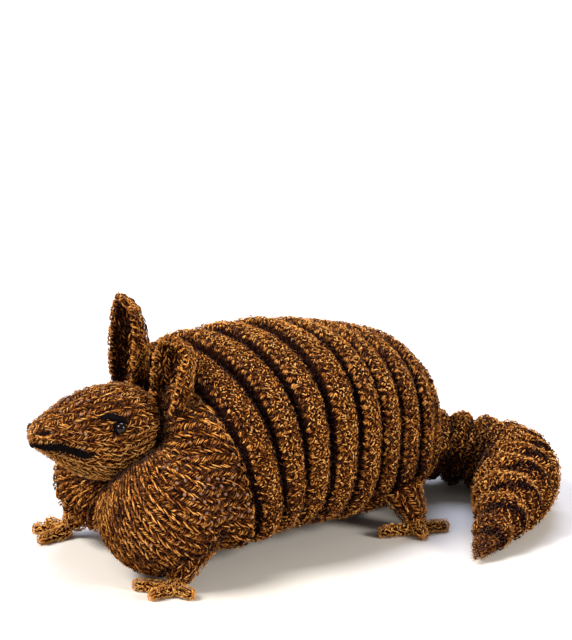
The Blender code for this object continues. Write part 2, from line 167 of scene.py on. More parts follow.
def glide(table, column, at):
    """The value of one column of a table at each place, on a smooth curve through the table's rows."""
    knots = table[:, 0]
    values = table[:, column]
    slopes = np.gradient(values, knots)
    order = np.argsort(knots)
    knots, values, slopes = knots[order], values[order], slopes[order]
    at = np.clip(at, knots[0], knots[-1])
    i = np.clip(np.searchsorted(knots, at) - 1, 0, len(knots) - 2)
    span = knots[i + 1] - knots[i]
    t = (at - knots[i]) / span
    rise = t * t * (3.0 - 2.0 * t)
    start = t * (1.0 - t) ** 2 * span * slopes[i]
    end = t * t * (t - 1.0) * span * slopes[i + 1]
    return values[i] * (1.0 - rise) + values[i + 1] * rise + start + end


def glides(table, at):
    """The values of every column of a table at each place."""
    return [glide(table, column, at) for column in range(1, table.shape[1])]


def unit(vectors):
    return vectors / np.maximum(np.linalg.norm(vectors, axis=-1, keepdims=True), 1e-9)


def smooth_step(value):
    value = np.clip(value, 0.0, 1.0)
    return value * value * (3.0 - 2.0 * value)


def run_along(lines):
    """How far along each of several lines its points are."""
    steps = np.linalg.norm(np.diff(lines, axis=1), axis=2)
    return np.concatenate([np.zeros((len(lines), 1)), np.cumsum(steps, axis=1)], axis=1)


def distance_along(points):
    """How far along a line each of its points is."""
    return run_along(points[None])[0]


def read_line(values, along, at):
    """The values given at a line's points, read at other distances along it."""
    return np.stack([np.interp(at, along, values[:, k]) for k in range(3)], axis=1)


def ways_round(lines, outs):
    """The way along lines, the way aside from it and the way up from them, where outs is roughly the last."""
    runs = unit(np.gradient(lines, axis=-2))
    side = unit(np.cross(runs, outs))
    return runs, side, np.cross(side, runs)


def swelling(count, power, end=0.0):
    """From thin to full to thin again, in so many steps: a sine, raised to a power to make it blunter."""
    return np.sin(math.pi * np.linspace(end, 1.0 - end, count)) ** power


def round_angles(count):
    return np.linspace(0.0, TURN, count, endpoint=False)


def even_ring(points, count, bow=0.0):
    """The points of a closed ring respaced evenly round it, or sunk at the sides by a share of its length."""
    loop = np.vstack([points, points[:1]])
    along = distance_along(loop)
    at = np.linspace(0.0, 1.0, count, endpoint=False)
    return read_line(loop, along, np.mod(at - bow * np.cos(TURN * at), 1.0) * along[-1])


def trunk_ring(place, shrink, count):
    """A ring round the trunk, pulled in from its surface: a squared oval, squarer below."""
    height, width, tall, lean = glides(TRUNK, place)
    angle = round_angles(240)
    power = np.where(np.sin(angle) < 0.0, 2.0 / UNDER_SQUARENESS, 2.0 / SQUARENESS)
    across, up = (np.sign(wave) * np.abs(wave) ** power for wave in (np.cos(angle), np.sin(angle)))
    tilt = math.radians(lean)
    points = np.stack([
        (width - shrink) * across,
        place - math.sin(tilt) * (tall - shrink) * up,
        height + math.cos(tilt) * (tall - shrink) * up,
    ], axis=1)
    return even_ring(points, count)


def join_distance(first, second):
    """The nearer of two distances, blended where they are alike."""
    h = np.clip(0.5 + 0.5 * (second - first) / BLEND, 0.0, 1.0)
    return second + (first - second) * h - BLEND * h * (1.0 - h)


def shoulder_distance(points):
    """About how far points lie outside the shoulder's core and its lobes."""
    scaled = (points - CORE_CENTRE) / CORE_RADII
    length = np.linalg.norm(scaled, axis=-1)
    steep = np.linalg.norm(scaled / CORE_RADII, axis=-1)
    distance = length * (length - 1.0) / steep
    for centre, radius in LOBES:
        distance = join_distance(distance, np.linalg.norm(points - np.array(centre), axis=-1) - radius)
    return distance


def trunk_distance(points):
    """About how far points lie outside the banded part of the trunk."""
    height, width, tall = glides(TRUNK, points[..., 1])[:3]
    across, up = np.abs(points[..., 0]) / width, np.abs(points[..., 2] - height) / tall
    return ((across ** UNDER_SQUARENESS + up ** UNDER_SQUARENESS) ** (1.0 / UNDER_SQUARENESS) - 1.0) * tall


def head_distance(points):
    """About how far points lie outside the head."""
    height, width, tall = glides(HEAD, points[..., 1])
    reach = (np.hypot(points[..., 0] / width, (points[..., 2] - height) / tall) - 1.0) * width
    beyond = np.maximum(points[..., 1] - HEAD[0, 0], HEAD[-1, 0] - points[..., 1])
    return np.maximum(reach, beyond)


def front_leg_distance(points):
    """About how far points lie outside the nearer front leg."""
    nearest = np.full(points.shape[:-1], 99.0)
    for name in ("front_left", "front_right"):
        top, ankle = (np.array(place) for place in LEGS[name][:2])
        way = ankle - top
        t = np.clip((points - top) @ way / (way @ way), 0.0, 1.0)
        away = np.linalg.norm(points - top - t[..., None] * way, axis=-1)
        nearest = np.minimum(nearest, away - LEG_TOP_RADIUS + (LEG_TOP_RADIUS - ANKLE_RADIUS) * t)
    return nearest


# ---------------------------------------------------------------- knitted surfaces


class Skin:
    """A knitted surface: points in rows along the knitting and columns round it, with the way out at each.

    outward is 1 or -1, for the sense its columns run in. shadow is painted shade: how much darker the yarn is
    painted (lighter where it is negative, as painted light), as a number or a function of points, and window
    is the skin's own share of the unwrapped map.
    """

    def __init__(self, points, outward, closed=True):
        rows, columns = 2 * len(points), points.shape[1]
        lines = points.transpose(1, 0, 2)
        along = run_along(lines)
        even = np.stack([
            read_line(line, far, np.linspace(0.0, far[-1], rows)) for line, far in zip(lines, along)
        ], axis=1)
        self.points = even
        self.length = along[:, -1]
        self.closed = closed
        self.handed = -outward
        self.shadow = 0.0
        self.window = ((0.0, 0.0), (1.0, 1.0))
        forward = np.gradient(even, axis=0)
        if closed:
            round_it = (np.roll(even, -1, axis=1) - np.roll(even, 1, axis=1)) * 0.5
        else:
            round_it = np.gradient(even, axis=1)
        self.outs = unit(np.cross(round_it, forward)) * outward
        self.round_reach = np.linalg.norm(round_it, axis=2) * (columns if closed else columns - 1)

    def weights(self, along, across):
        """The rows and columns on either side of each place, and how far it is past the first of them."""
        rows, columns = self.points.shape[:2]
        r = np.clip(along, 0.0, 1.0) * (rows - 1)
        r0 = np.minimum(r.astype(int), rows - 2)
        if self.closed:
            c = np.mod(across, 1.0) * columns
            c0 = np.floor(c).astype(int)
            return r0, r - r0, c0 % columns, (c0 + 1) % columns, c - c0
        c = np.clip(across, 0.0, 1.0) * (columns - 1)
        c0 = np.minimum(c.astype(int), columns - 2)
        return r0, r - r0, c0, c0 + 1, c - c0

    def look_up(self, grid, along, across):
        """What a grid of values kept for the skin's points says at other places."""
        r0, rt, c0, c1, ct = self.weights(along, across)
        if grid.ndim == 3:
            rt, ct = rt[..., None], ct[..., None]
        low = grid[r0, c0] * (1.0 - ct) + grid[r0, c1] * ct
        high = grid[r0 + 1, c0] * (1.0 - ct) + grid[r0 + 1, c1] * ct
        return low * (1.0 - rt) + high * rt

    def place(self, along, across, height):
        """The points so high over places on the skin, and the way out there."""
        out = unit(self.look_up(self.outs, along, across))
        return self.look_up(self.points, along, across) + out * height[..., None], out

    def column_length(self, across):
        """How long the skin is along each place across it."""
        columns = len(self.length)
        if self.closed:
            lengths = np.append(self.length, self.length[0])
            return np.interp(np.mod(across, 1.0) * columns, np.arange(columns + 1), lengths)
        return np.interp(across * (columns - 1), np.arange(columns), self.length)


# ---------------------------------------------------------------- yarn

# The radius of a ply, how far plies wind from the middle of their yarn, and the length of one turn.
PLY = 0.25
PLY_REACH = 0.43
TWIST = 3.6
# Columns of stitches round the bands and round the shoulder.
WALES = 44
SHOULDER_WALES = 40
SHOULDER_ROW = 4.0
# How light each of the four plies is, from golden to dark brown, and how much that varies.
PLY_TONES = ((0.82, 0.10), (0.46, 0.12), (0.62, 0.12), (0.28, 0.10))


def tube_corners(points, sides):
    """The corners of one strand's faces: a point at each end and rings between."""
    rings = points - 2
    quads, tris = [], []
    for i in range(rings - 1):
        for k in range(sides):
            a, b = 1 + i * sides + k, 1 + i * sides + (k + 1) % sides
            quads.append((a, b, b + sides, a + sides))
    last = 1 + (rings - 1) * sides
    for k in range(sides):
        tris.append((0, 1 + (k + 1) % sides, 1 + k))
        tris.append((last + sides, last + k, last + (k + 1) % sides))
    return np.array(quads), np.array(tris)


class Yarn:
    """Strands gathered for one mesh: each is a closed, pointed tube along its line of points."""

    def __init__(self):
        self.vertices, self.yarn, self.tone, self.bake = [], [], [], []
        self.quads, self.tris = [], []
        self.count = 0

    def add(self, lines, outs, radii, roots, tones, sides=3):
        """Adds strands: lines and outs are (strand, point, 3), radii (strand, point), roots (strand, 2)."""
        n, m = lines.shape[:2]
        if n == 0:
            return
        _, side, upward = ways_round(lines, outs)
        angle = (np.arange(sides) + 0.5) * TURN / sides
        ring = (
            lines[:, 1:-1, None]
            + radii[:, 1:-1, None, None] * np.cos(angle)[:, None] * side[:, 1:-1, None]
            + radii[:, 1:-1, None, None] * np.sin(angle)[:, None] * upward[:, 1:-1, None]
        ).reshape(n, -1, 3)
        points = np.concatenate([lines[:, :1], ring, lines[:, -1:]], axis=1)
        run = run_along(lines) + rng.uniform(0.0, 500.0, (n, 1))
        per = np.concatenate([[0], np.repeat(np.arange(1, m - 1), sides), [m - 1]])
        around = np.concatenate([[0.0], np.tile(angle, m - 2), [0.0]])
        yarn = np.empty((n, len(per), 3))
        yarn[..., 0] = run[:, per]
        yarn[..., 1] = np.cos(around)
        yarn[..., 2] = np.sin(around)
        patch = np.stack([per / (m - 1) - 0.5, around / TURN - 0.5], axis=1) * 0.003
        quads, tris = tube_corners(m, sides)
        base = self.count + np.arange(n)[:, None, None] * points.shape[1]
        self.vertices.append(points.reshape(-1, 3))
        self.yarn.append(yarn.reshape(-1, 3))
        self.tone.append(np.repeat(tones[:, None, :], points.shape[1], axis=1).reshape(-1, 3))
        self.bake.append((roots[:, None, :] + patch).reshape(-1, 2))
        self.quads.append((quads + base).reshape(-1, 4))
        self.tris.append((tris + base).reshape(-1, 3))
        self.count += n * points.shape[1]


def lay_yarn(yarn, lines, outs, roots, thickness, shade, ends=0.35):
    """Lays twisted yarn along lines: plies wound round each other, thinner and closer at the ends."""
    n, m = lines.shape[:2]
    _, side, upward = ways_round(lines, outs)
    full = ends + (1.0 - ends) * swelling(m, 0.5)
    turn = rng.uniform(0.0, TURN, (n, 1)) + TURN * run_along(lines) / (TWIST * thickness)
    for ply, (tone, spread) in enumerate(PLY_TONES):
        angle = turn + TURN * ply / len(PLY_TONES)
        reach = PLY_REACH * thickness * full * (1.0 + 0.15 * normal(n, 1))
        offset = reach[..., None] * (np.cos(angle)[..., None] * side + np.sin(angle)[..., None] * upward)
        radii = PLY * thickness * full * (1.0 + 0.12 * normal(n, 1))
        tones = rng.uniform(0.0, 1.0, (n, 3))
        tones[:, 0] = tone + shade + spread * normal(n)
        yarn.add(lines + offset, outs, radii, roots + np.array((0.004 * (ply - 1.5), 0.0)), tones)


def fill_mesh(name, vertices, faces):
    """A mesh from vertices in millimetres and its faces' corners, an array for each number of corners."""
    mesh = bpy.data.meshes.new(name)
    mesh.vertices.add(len(vertices))
    mesh.vertices.foreach_set("co", ((vertices - MIDDLE) * MM).astype(np.float32).ravel())
    corners = np.concatenate([f.ravel() for f in faces]).astype(np.int32)
    totals = np.concatenate([np.full(len(f), f.shape[1]) for f in faces]).astype(np.int32)
    mesh.loops.add(len(corners))
    mesh.loops.foreach_set("vertex_index", corners)
    mesh.polygons.add(len(totals))
    mesh.polygons.foreach_set("loop_start", np.concatenate([[0], np.cumsum(totals)[:-1]]).astype(np.int32))
    mesh.polygons.foreach_set("use_smooth", np.full(len(totals), True))
    mesh.update(calc_edges=True)
    return mesh, corners


def bake_map(mesh, corners, places):
    layer = mesh.uv_layers.new(name="OFBake")
    layer.data.foreach_set("uv", places[corners].astype(np.float32).ravel())


def keep_attribute(mesh, name, values):
    attribute = mesh.attributes.new(name, "FLOAT_VECTOR", "POINT")
    attribute.data.foreach_set("vector", values.astype(np.float32).ravel())


def piece(name, mesh, material, *nodes, slot="brown_tweed_knit", fill=None):
    """Puts one piece of the toy in the scene: the solids it stands for are nodes, and fill is not used."""
    obj = bpy.data.objects.new(name, mesh)
    bpy.context.scene.collection.objects.link(obj)
    mesh.materials.append(material)
    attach(obj, "root")
    if nodes:
        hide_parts(*nodes)


def yarn_piece(name, yarn, *nodes, material=None, **settings):
    vertices = np.concatenate(yarn.vertices)
    vertices[:, 2] = np.maximum(vertices[:, 2], 0.0)
    quads, tris = np.concatenate(yarn.quads), np.concatenate(yarn.tris)
    mesh, corners = fill_mesh(name, vertices, [quads, tris])
    keep_attribute(mesh, "yarn", np.concatenate(yarn.yarn))
    keep_attribute(mesh, "tone", np.concatenate(yarn.tone))
    bake_map(mesh, corners, np.concatenate(yarn.bake))
    piece(name, mesh, material or knit_wool, *nodes, **settings)


# ---------------------------------------------------------------- stitches


def value_at(value, places):
    """A number, or what a function says of the places."""
    return value(places) if callable(value) else value


def wale_places(skin, wales, row, start, stop, rows):
    """The middle of each stitch, along and across a skin, and its height as a share of its column."""
    along, across, share = [], [], []
    for wale in range(wales):
        at = (wale + 0.5) / wales
        step = (stop - start) / rows if rows else row / float(skin.column_length(np.array([at]))[0])
        middles = np.arange(start + 0.5 * step, stop, step)
        along.append(middles)
        across.append(np.full(len(middles), at))
        share.append(np.full(len(middles), step))
    return np.concatenate(along), np.concatenate(across), np.concatenate(share)


def root_places(skin, along, across):
    """Where strands are rooted on the unwrapped skin, inside the window that is the skin's own."""
    low, high = np.array(skin.window)
    places = np.stack([np.clip(along, 0.0, 1.0), np.mod(across, 1.0)], axis=1)
    return low + (high - low) * (0.03 + 0.94 * places)


def strand(yarn, skin, along, across, height, radius, tone):
    """Adds one pointed strand to each place: along, across and height are (strand, point)."""
    count, steps = along.shape
    lines, outs = skin.place(along, across, height)
    tone = tone - value_at(skin.shadow, lines[:, steps // 2])
    full = swelling(steps, 0.45, 0.04)
    radii = radius * full[None] * (1.0 + 0.13 * normal(count, 1))
    tones = rng.uniform(0.0, 1.0, (count, 3))
    tones[:, 0] = tone
    yarn.add(lines, outs, radii, root_places(skin, along.mean(axis=1), across.mean(axis=1)), tones)


def ply_tones(count, ply, shade):
    """How light one strand of each stitch is: its plies come round in turn, and each varies."""
    which = (rng.integers(0, len(PLY_TONES), count) + ply) % len(PLY_TONES)
    middle, spread = np.array(PLY_TONES).T
    return middle[which] + spread[which] * normal(count) + shade


def knit(yarn, skin, wales, row=0.0, start=0.0, stop=1.0, rows=0, thickness=1.0, lift=0.0, loose=1.0,
         keep=None, shade=0.0):
    """Adds knit stitches: the plies lie steeply across one leg of each, and nearly along the other.

    The stitches stand in so many wales across the skin, each a row tall, or so many rows in all. keep tells
    which of their places have one.
    """
    along, across, rows = wale_places(skin, wales, row, start, stop, rows)
    if keep is not None:
        kept = keep(skin.place(along, across, np.zeros(len(along)))[0])
        along, across, rows = along[kept], across[kept], rows[kept]
    count = len(along)

    def draw(many):
        """Random shifts of each stitch."""
        return np.moveaxis(normal(count, many, 1) * loose, 1, 0)

    def add_ply(s, w, h, radius, ply, tint):
        """Adds a strand to each stitch: s is in rows along it, w in wales across, h in thicknesses out."""
        s, w = along[:, None] + rows[:, None] * s, across[:, None] + w / wales
        strand(yarn, skin, s, w, lift + thickness * h, radius * PLY * thickness, ply_tones(count, ply, tint))

    sway, drift = draw(2)
    stitch_shade = shade + 0.08 * normal(count)
    x = np.linspace(-1.0, 1.0, 5)[None]
    bulge = 0.10 * normal(count, 1)
    for ply in range(5):
        near, aside, rise, lean = draw(4)
        s = 0.20 * (ply - 2.0) + 0.22 * x + 0.04 * sway + 0.05 * near
        w = 0.25 + skin.handed * 0.17 * x * (1.0 + 0.25 * lean) + 0.02 * drift + 0.03 * aside
        add_ply(s, w, 0.12 - 0.75 * x ** 2 + bulge + 0.12 * rise, 0.9, ply, stitch_shade)
    bulge = 0.12 * normal(count, 1)
    leg_shade = stitch_shade + 0.10 * normal(count)
    for ply in range(3):
        near, aside, rise, lean = draw(4)
        s = 0.33 * (ply - 1.0) + 0.36 * x + 0.04 * sway + 0.10 * near
        w = 0.10 * (ply % 2 - 0.5) - 0.25 - skin.handed * 0.10 * x * (1.0 + 0.5 * lean)
        w = w + 0.02 * drift + 0.03 * aside
        add_ply(s, w, 0.18 - 0.7 * x ** 2 + bulge + 0.14 * rise, 1.0, ply, leg_shade)
    # The yarn that shows between the legs, deeper down, painted darker as shade.
    x = x[:, 1:]
    for line in (0.0, 0.5):
        near, aside, rise, lean = draw(4)
        s = 0.3 * near + 0.30 * x
        w = line + skin.handed * 0.12 * x * lean + 0.04 * aside
        add_ply(s, w, -0.35 - 0.5 * x ** 2 + 0.15 * rise, 1.0, 0, stitch_shade - 0.15)


def moss(yarn, skin, wales, start=0.0, stop=1.0, spacing=1.0, thickness=0.85, lift=0.0,
         shade=0.0, calm=0.0, scallop=0.0):
    """Adds close, bumpy knitting: short plies slanting one way or the other, in lines along it.

    shade tells how much lighter the plies are, calm how much more even, and scallop how high they stand in
    lumps round the skin, and how much darker they are painted between the lumps, as painted shade: each is a
    number, or a function of the place along it.
    """
    length = float(np.mean(skin.length))
    rows = max(1, int(round((stop - start) * length / spacing)))
    girths = skin.round_reach.mean(axis=1)
    along, across = [], []
    for row in range(rows):
        at = start + (stop - start) * (row + 0.5) / rows
        girth = np.interp(at, np.linspace(0.0, 1.0, len(girths)), girths)
        many = max(3, int(round(girth / spacing)))
        along.append(np.full(many, at))
        across.append((np.arange(many) + rng.uniform(0.0, 1.0)) / many)
    along, across = np.concatenate(along), np.concatenate(across)
    count = len(along)
    girth = skin.look_up(skin.round_reach, along, across)
    tall = skin.column_length(across)
    along = along + 0.30 * spacing * normal(count) / tall
    across = across + 0.30 * spacing * normal(count) / girth
    line = np.cos(2.0 * TURN * across * wales)
    slant = np.where(line + 0.7 * normal(count) > 0.0, 48.0, -36.0)
    slant = np.radians(slant + 20.0 * normal(count)) * skin.handed
    reach = 0.8 * thickness * rng.uniform(0.7, 1.35, count)
    x = np.linspace(-1.0, 1.0, 4)[None]
    s = along[:, None] + (reach * np.cos(slant) / tall)[:, None] * x
    w = across[:, None] + (reach * np.sin(slant) / girth)[:, None] * x
    bump = 0.14 * line * np.cos(TURN * along * tall / 4.0)
    tones = 0.55 + 1.35 * (ply_tones(count, 0, 0.10) - 0.55)
    tones = tones + 0.6 * value_at(calm, along) * (0.50 - tones) + value_at(shade, along)
    lump = np.cos(TURN * (2.0 * wales * across + 0.5 * along * tall / 2.6))
    stands = value_at(scallop, along)
    bump = bump + stands * lump
    # Painted shade: the plies between the lumps are darker.
    tones = tones - 0.32 * stands * (1.0 - lump)
    h = lift + thickness * ((bump + 0.2 * normal(count))[:, None] - 0.35 * x ** 2)
    strand(yarn, skin, s, w, h, PLY * thickness, tones)


BUMP_SLANT = 38.0
BUMP_SHADE = -0.1


def bumps(yarn, skin, at):
    """Adds one round of purl bumps: short bundles of plies standing side by side across an edge."""
    many = 2 * WALES
    across = (np.arange(many) + 0.12 * normal(many)) / many
    along = at + 0.012 * normal(many)
    girth, tall = skin.look_up(skin.round_reach, along, across), skin.column_length(across)
    lean = np.radians(BUMP_SLANT + 8.0 * normal(many)) * skin.handed
    swell = 0.22 + 0.16 * normal(many)
    tint = BUMP_SHADE + 0.14 * normal(many)
    x = np.linspace(-1.0, 1.0, 5)[None]
    for ply in range(4):
        aside = 0.45 * (ply - 1.5) + 0.1 * normal(many)
        reach = 1.15 * rng.uniform(0.6, 1.15, many)
        (ahead, down), (over, up) = ((far * np.cos(lean), far * np.sin(lean)) for far in (reach, aside))
        s = along[:, None] + (ahead[:, None] * x - up[:, None]) / tall[:, None]
        w = across[:, None] + (down[:, None] * x + over[:, None]) / girth[:, None]
        h = swell[:, None] * (1.0 - x ** 2) - 0.12 * (ply - 1.5) ** 2 + 0.1 * normal(many, 1)
        strand(yarn, skin, s, w, h, 1.05 * PLY, ply_tones(many, 3 - ply, tint))


def hairs(yarn, skin, count, length, keep=None, lift=0.1, flat=0.0, shade=0.0):
    """Adds fine stray fibres standing out of a skin, or lying nearly along it."""
    along, across = rng.uniform(0.0, 1.0, count), rng.uniform(0.0, 1.0, count)
    if keep is not None:
        chosen = keep(skin.place(along, across, np.zeros(count))[0])
        along, across = along[chosen], across[chosen]
        count = len(along)
    base, out = skin.place(along, across, np.full(count, lift))
    lean = unit(np.cross(out, normal(count, 3)))
    bend = unit(np.cross(out, normal(count, 3)))
    reach = length * rng.uniform(0.5, 1.3, (count, 1, 1))
    t = np.linspace(0.0, 1.0, 4)[None, :, None]
    slope = flat + rng.uniform(0.3, 2.2, (count, 1, 1))
    way = unit(out[:, None] + slope * lean[:, None])
    lines = base[:, None] + reach * (t * way + 0.35 * t * t * bend[:, None])
    radii = np.tile(np.array((0.03, 0.035, 0.03, 0.0)), (count, 1))
    tones = rng.uniform(0.0, 1.0, (count, 3))
    tones[:, 0] = 0.40 + 0.30 * tones[:, 0] + value_at(shade, along)
    # Painted shade: hairs painted dark are never pale.
    tones[:, 2] *= tones[:, 0] > 0.3
    # Painted sheen: pale lilac fibres are likelier on upward-facing surfaces, as if catching light from
    # above.
    tones[:, 2] = np.where(tones[:, 2] > 0.7 - 0.45 * smooth_step(out[:, 2] / 0.7), 2.0, 0.0)
    outs = np.repeat(bend[:, None] + 0.01, 4, axis=1)
    yarn.add(lines, outs, radii, root_places(skin, along, across), tones)


def fuzz(yarn, skin, standing, lying, length=1.3, lying_lift=0.35, lying_length=1.6, **where):
    """Adds two kinds of hairs: some standing out of the stitches, and longer ones lying on them."""
    hairs(yarn, skin, standing, length, **where)
    hairs(yarn, skin, lying, lying_length, lift=lying_lift, flat=5.0, **where)


def slubs(yarn, skin, along, across, size):
    """Adds little pale balls of fibre caught between the stitches."""
    count = len(along)
    t = np.linspace(-1.0, 1.0, 6)[None, :]
    middle, out = skin.place(along[:, None] + 0.0 * t, across[:, None] + 0.0 * t, np.full((count, 6), 0.15))
    way = unit(np.cross(out[:, 0], normal(count, 3)))
    lines = middle + (t[..., None] * size * 1.25) * way[:, None]
    radii = size * np.sqrt(np.maximum(1.0 - (t * 0.97) ** 2, 0.0)) * rng.uniform(0.7, 1.1, (count, 1))
    tones = np.full((count, 3), 2.5)
    tones[:, 0] = 0.6
    yarn.add(lines, out, radii, root_places(skin, along, across), tones, sides=6)


# ---------------------------------------------------------------- materials


class Material:
    """A new material, with short ways to add nodes to it."""

    def __init__(self, name):
        self.made = bpy.data.materials.new(name)
        self.made.use_nodes = True
        self.nodes = self.made.node_tree.nodes
        self.shader = self.nodes["Principled BSDF"].inputs

    def link(self, source, socket):
        self.made.node_tree.links.new(source, socket)

    def set_shader(self, **values):
        """Sets the shader's own sockets, each named with a low line for a space."""
        for name, value in values.items():
            self.shader[name.replace("_", " ")].default_value = value

    def position(self):
        return self.nodes.new("ShaderNodeNewGeometry").outputs["Position"]

    def attribute(self, name):
        node = self.nodes.new("ShaderNodeAttribute")
        node.attribute_name = name
        return node.outputs["Vector"]

    def tone(self):
        """The numbers that each strand and form carries: how light it is, a spare, and whether it is pale."""
        split = self.nodes.new("ShaderNodeSeparateXYZ")
        self.link(self.attribute("tone"), split.inputs[0])
        return split.outputs

    def maths(self, operation, *values):
        node = self.nodes.new("ShaderNodeMath")
        node.operation = operation
        for socket, value in zip(node.inputs, values):
            if isinstance(value, float):
                socket.default_value = value
            else:
                self.link(value, socket)
        return node.outputs[0]

    def noise(self, vector, scale, detail, roughness):
        node = self.nodes.new("ShaderNodeTexNoise")
        for name, value in (("Scale", scale), ("Detail", detail), ("Roughness", roughness)):
            node.inputs[name].default_value = value
        self.link(vector, node.inputs["Vector"])
        return node.outputs["Fac"]

    def ramp(self, level, stops):
        node = self.nodes.new("ShaderNodeValToRGB")
        elements = node.color_ramp.elements
        while len(elements) < len(stops):
            elements.new(0.5)
        for element, (at, colour) in zip(elements, stops):
            element.position = at
            element.color = (*colour, 1.0)
        self.link(level, node.inputs[0])
        return node.outputs[0]


YARN_SHADES = (
    (0.0, (0.005, 0.0014, 0.0022)),
    (0.2, (0.052, 0.0135, 0.0028)),
    (0.45, (0.27, 0.080, 0.0085)),
    (0.7, (0.66, 0.235, 0.030)),
    (1.0, (0.98, 0.52, 0.14)),
)
PALE_FIBRE = (0.19, 0.125, 0.12, 1.0)
INNER_SHADES = ((0.0, (0.004, 0.0012, 0.0022)), (0.3, (0.05, 0.0145, 0.0034)), (0.7, (0.26, 0.080, 0.015)))


def tweed_material():
    """Marled yarn: golden, tan and dark plies streaked along their length, with pale fibres and slubs."""
    wool = Material("brown_tweed_knit")
    lightness, _, paleness = wool.tone()
    stretch = wool.nodes.new("ShaderNodeMapping")
    stretch.inputs["Scale"].default_value = (0.75, 0.6, 0.6)
    wool.link(wool.attribute("yarn"), stretch.inputs["Vector"])
    streak = wool.noise(stretch.outputs[0], 1.5, 3.0, 0.6)
    patch = wool.noise(wool.position(), 160.0, 2.0, 0.5)
    level = wool.maths("ADD", lightness, wool.maths("MULTIPLY_ADD", streak, 2.4, -1.2))
    level = wool.maths("SUBTRACT", wool.maths("MULTIPLY_ADD", patch, 0.4, level), 0.22)
    mix = wool.nodes.new("ShaderNodeMix")
    mix.data_type = "RGBA"
    mix.inputs["B"].default_value = PALE_FIBRE
    pale = wool.maths("GREATER_THAN", paleness, 1.5)
    wool.link(wool.maths("MULTIPLY", pale, 0.7), mix.inputs["Factor"])
    wool.link(wool.ramp(level, YARN_SHADES), mix.inputs["A"])
    wool.link(mix.outputs["Result"], wool.shader["Base Color"])
    wool.link(wool.maths("MULTIPLY_ADD", streak, 0.2, 0.65), wool.shader["Roughness"])
    wool.set_shader(Specular_IOR_Level=0.06, Sheen_Weight=0.13)
    wool.set_shader(Sheen_Roughness=0.4, Sheen_Tint=(0.80, 0.48, 0.36, 1.0))
    bump = wool.nodes.new("ShaderNodeBump")
    bump.inputs["Strength"].default_value = 0.5
    bump.inputs["Distance"].default_value = 0.00012
    wool.link(streak, bump.inputs["Height"])
    wool.link(bump.outputs[0], wool.shader["Normal"])
    return wool.made


def inner_wool_material():
    """The shaded wool seen between the stitches: flecked brown, near black down the furrows as painted shade.
    """
    wool = Material("shaded_inner_wool")
    fleck = wool.noise(wool.position(), 1100.0, 2.0, 0.6)
    light = wool.maths("MULTIPLY_ADD", wool.tone()[0], 0.9, 0.1)
    level = wool.maths("MULTIPLY", wool.maths("MULTIPLY_ADD", fleck, 1.6, -0.62), light)
    wool.link(wool.ramp(level, INNER_SHADES), wool.shader["Base Color"])
    wool.set_shader(Roughness=1.0, Specular_IOR_Level=0.0)
    return wool.made


def plain_material(name, colour, roughness, shine):
    """One colour with a fine grain."""
    material = Material(name)
    grain = material.noise(material.position(), 900.0, 3.0, 0.6)
    stops = [(at, tuple(share * c for c in colour)) for at, share in ((0.25, 0.6), (0.75, 1.4))]
    material.link(material.ramp(grain, stops), material.shader["Base Color"])
    material.set_shader(Roughness=roughness, Specular_IOR_Level=shine)
    return material.made


knit_wool = tweed_material()
deep_wool = inner_wool_material()
black_thread = plain_material("black_thread", (0.0042, 0.0030, 0.0032), 0.7, shine=0.02)
dark_bead = plain_material("dark_bead", (0.005, 0.0022, 0.0016), 0.05, shine=0.26)

# ---------------------------------------------------------------- the pieces

TRUNK_COLUMNS = 176
FURROW_DEPTH = 5.6
# How flat the top of a band is, less for flatter, and how much of the way between two furrows it takes.
BAND_ROUNDNESS = 0.62
BAND_SHARE = 0.92
# How far the shoulder sinks in round the head, and how far its wales sag at the sides, as a share of a round.
CREASE = 5.5
WALE_SAG = 0.055
# How far the stuffing lies inside the middle of the stitches.
INSET = 0.45


def band_skin(front, back):
    """A rounded welt between two furrows."""
    rings = []
    for t in np.linspace(0.0, 1.0, 25):
        shrink = FURROW_DEPTH * (1.0 - abs(math.sin(math.pi * t ** 0.85)) ** BAND_ROUNDNESS)
        share = 0.5 - 0.5 * BAND_SHARE * math.cos(math.pi * t)
        rings.append(trunk_ring(front + (back - front) * share, shrink, TRUNK_COLUMNS))
    return Skin(np.array(rings), -1.0)


def rump_skin():
    """From the last furrow to the trunk's end, and over it to the middle."""
    rings = []
    for t in np.linspace(0.0, 1.0, 31):
        shrink = FURROW_DEPTH * max(0.0, 1.0 - 3.0 * t) ** 2.5
        rings.append(trunk_ring(FURROWS[-1] + (RUMP_END - FURROWS[-1]) * t, shrink, TRUNK_COLUMNS))
    rim, middle = rings[-1], rings[-1].mean(axis=0)
    for share in (0.8, 0.6, 0.4, 0.2, 0.05):
        rings.append(middle + (rim - middle) * share + np.array((0.0, 0.8 * (1.0 - share), 0.0)))
    return Skin(np.array(rings), -1.0)


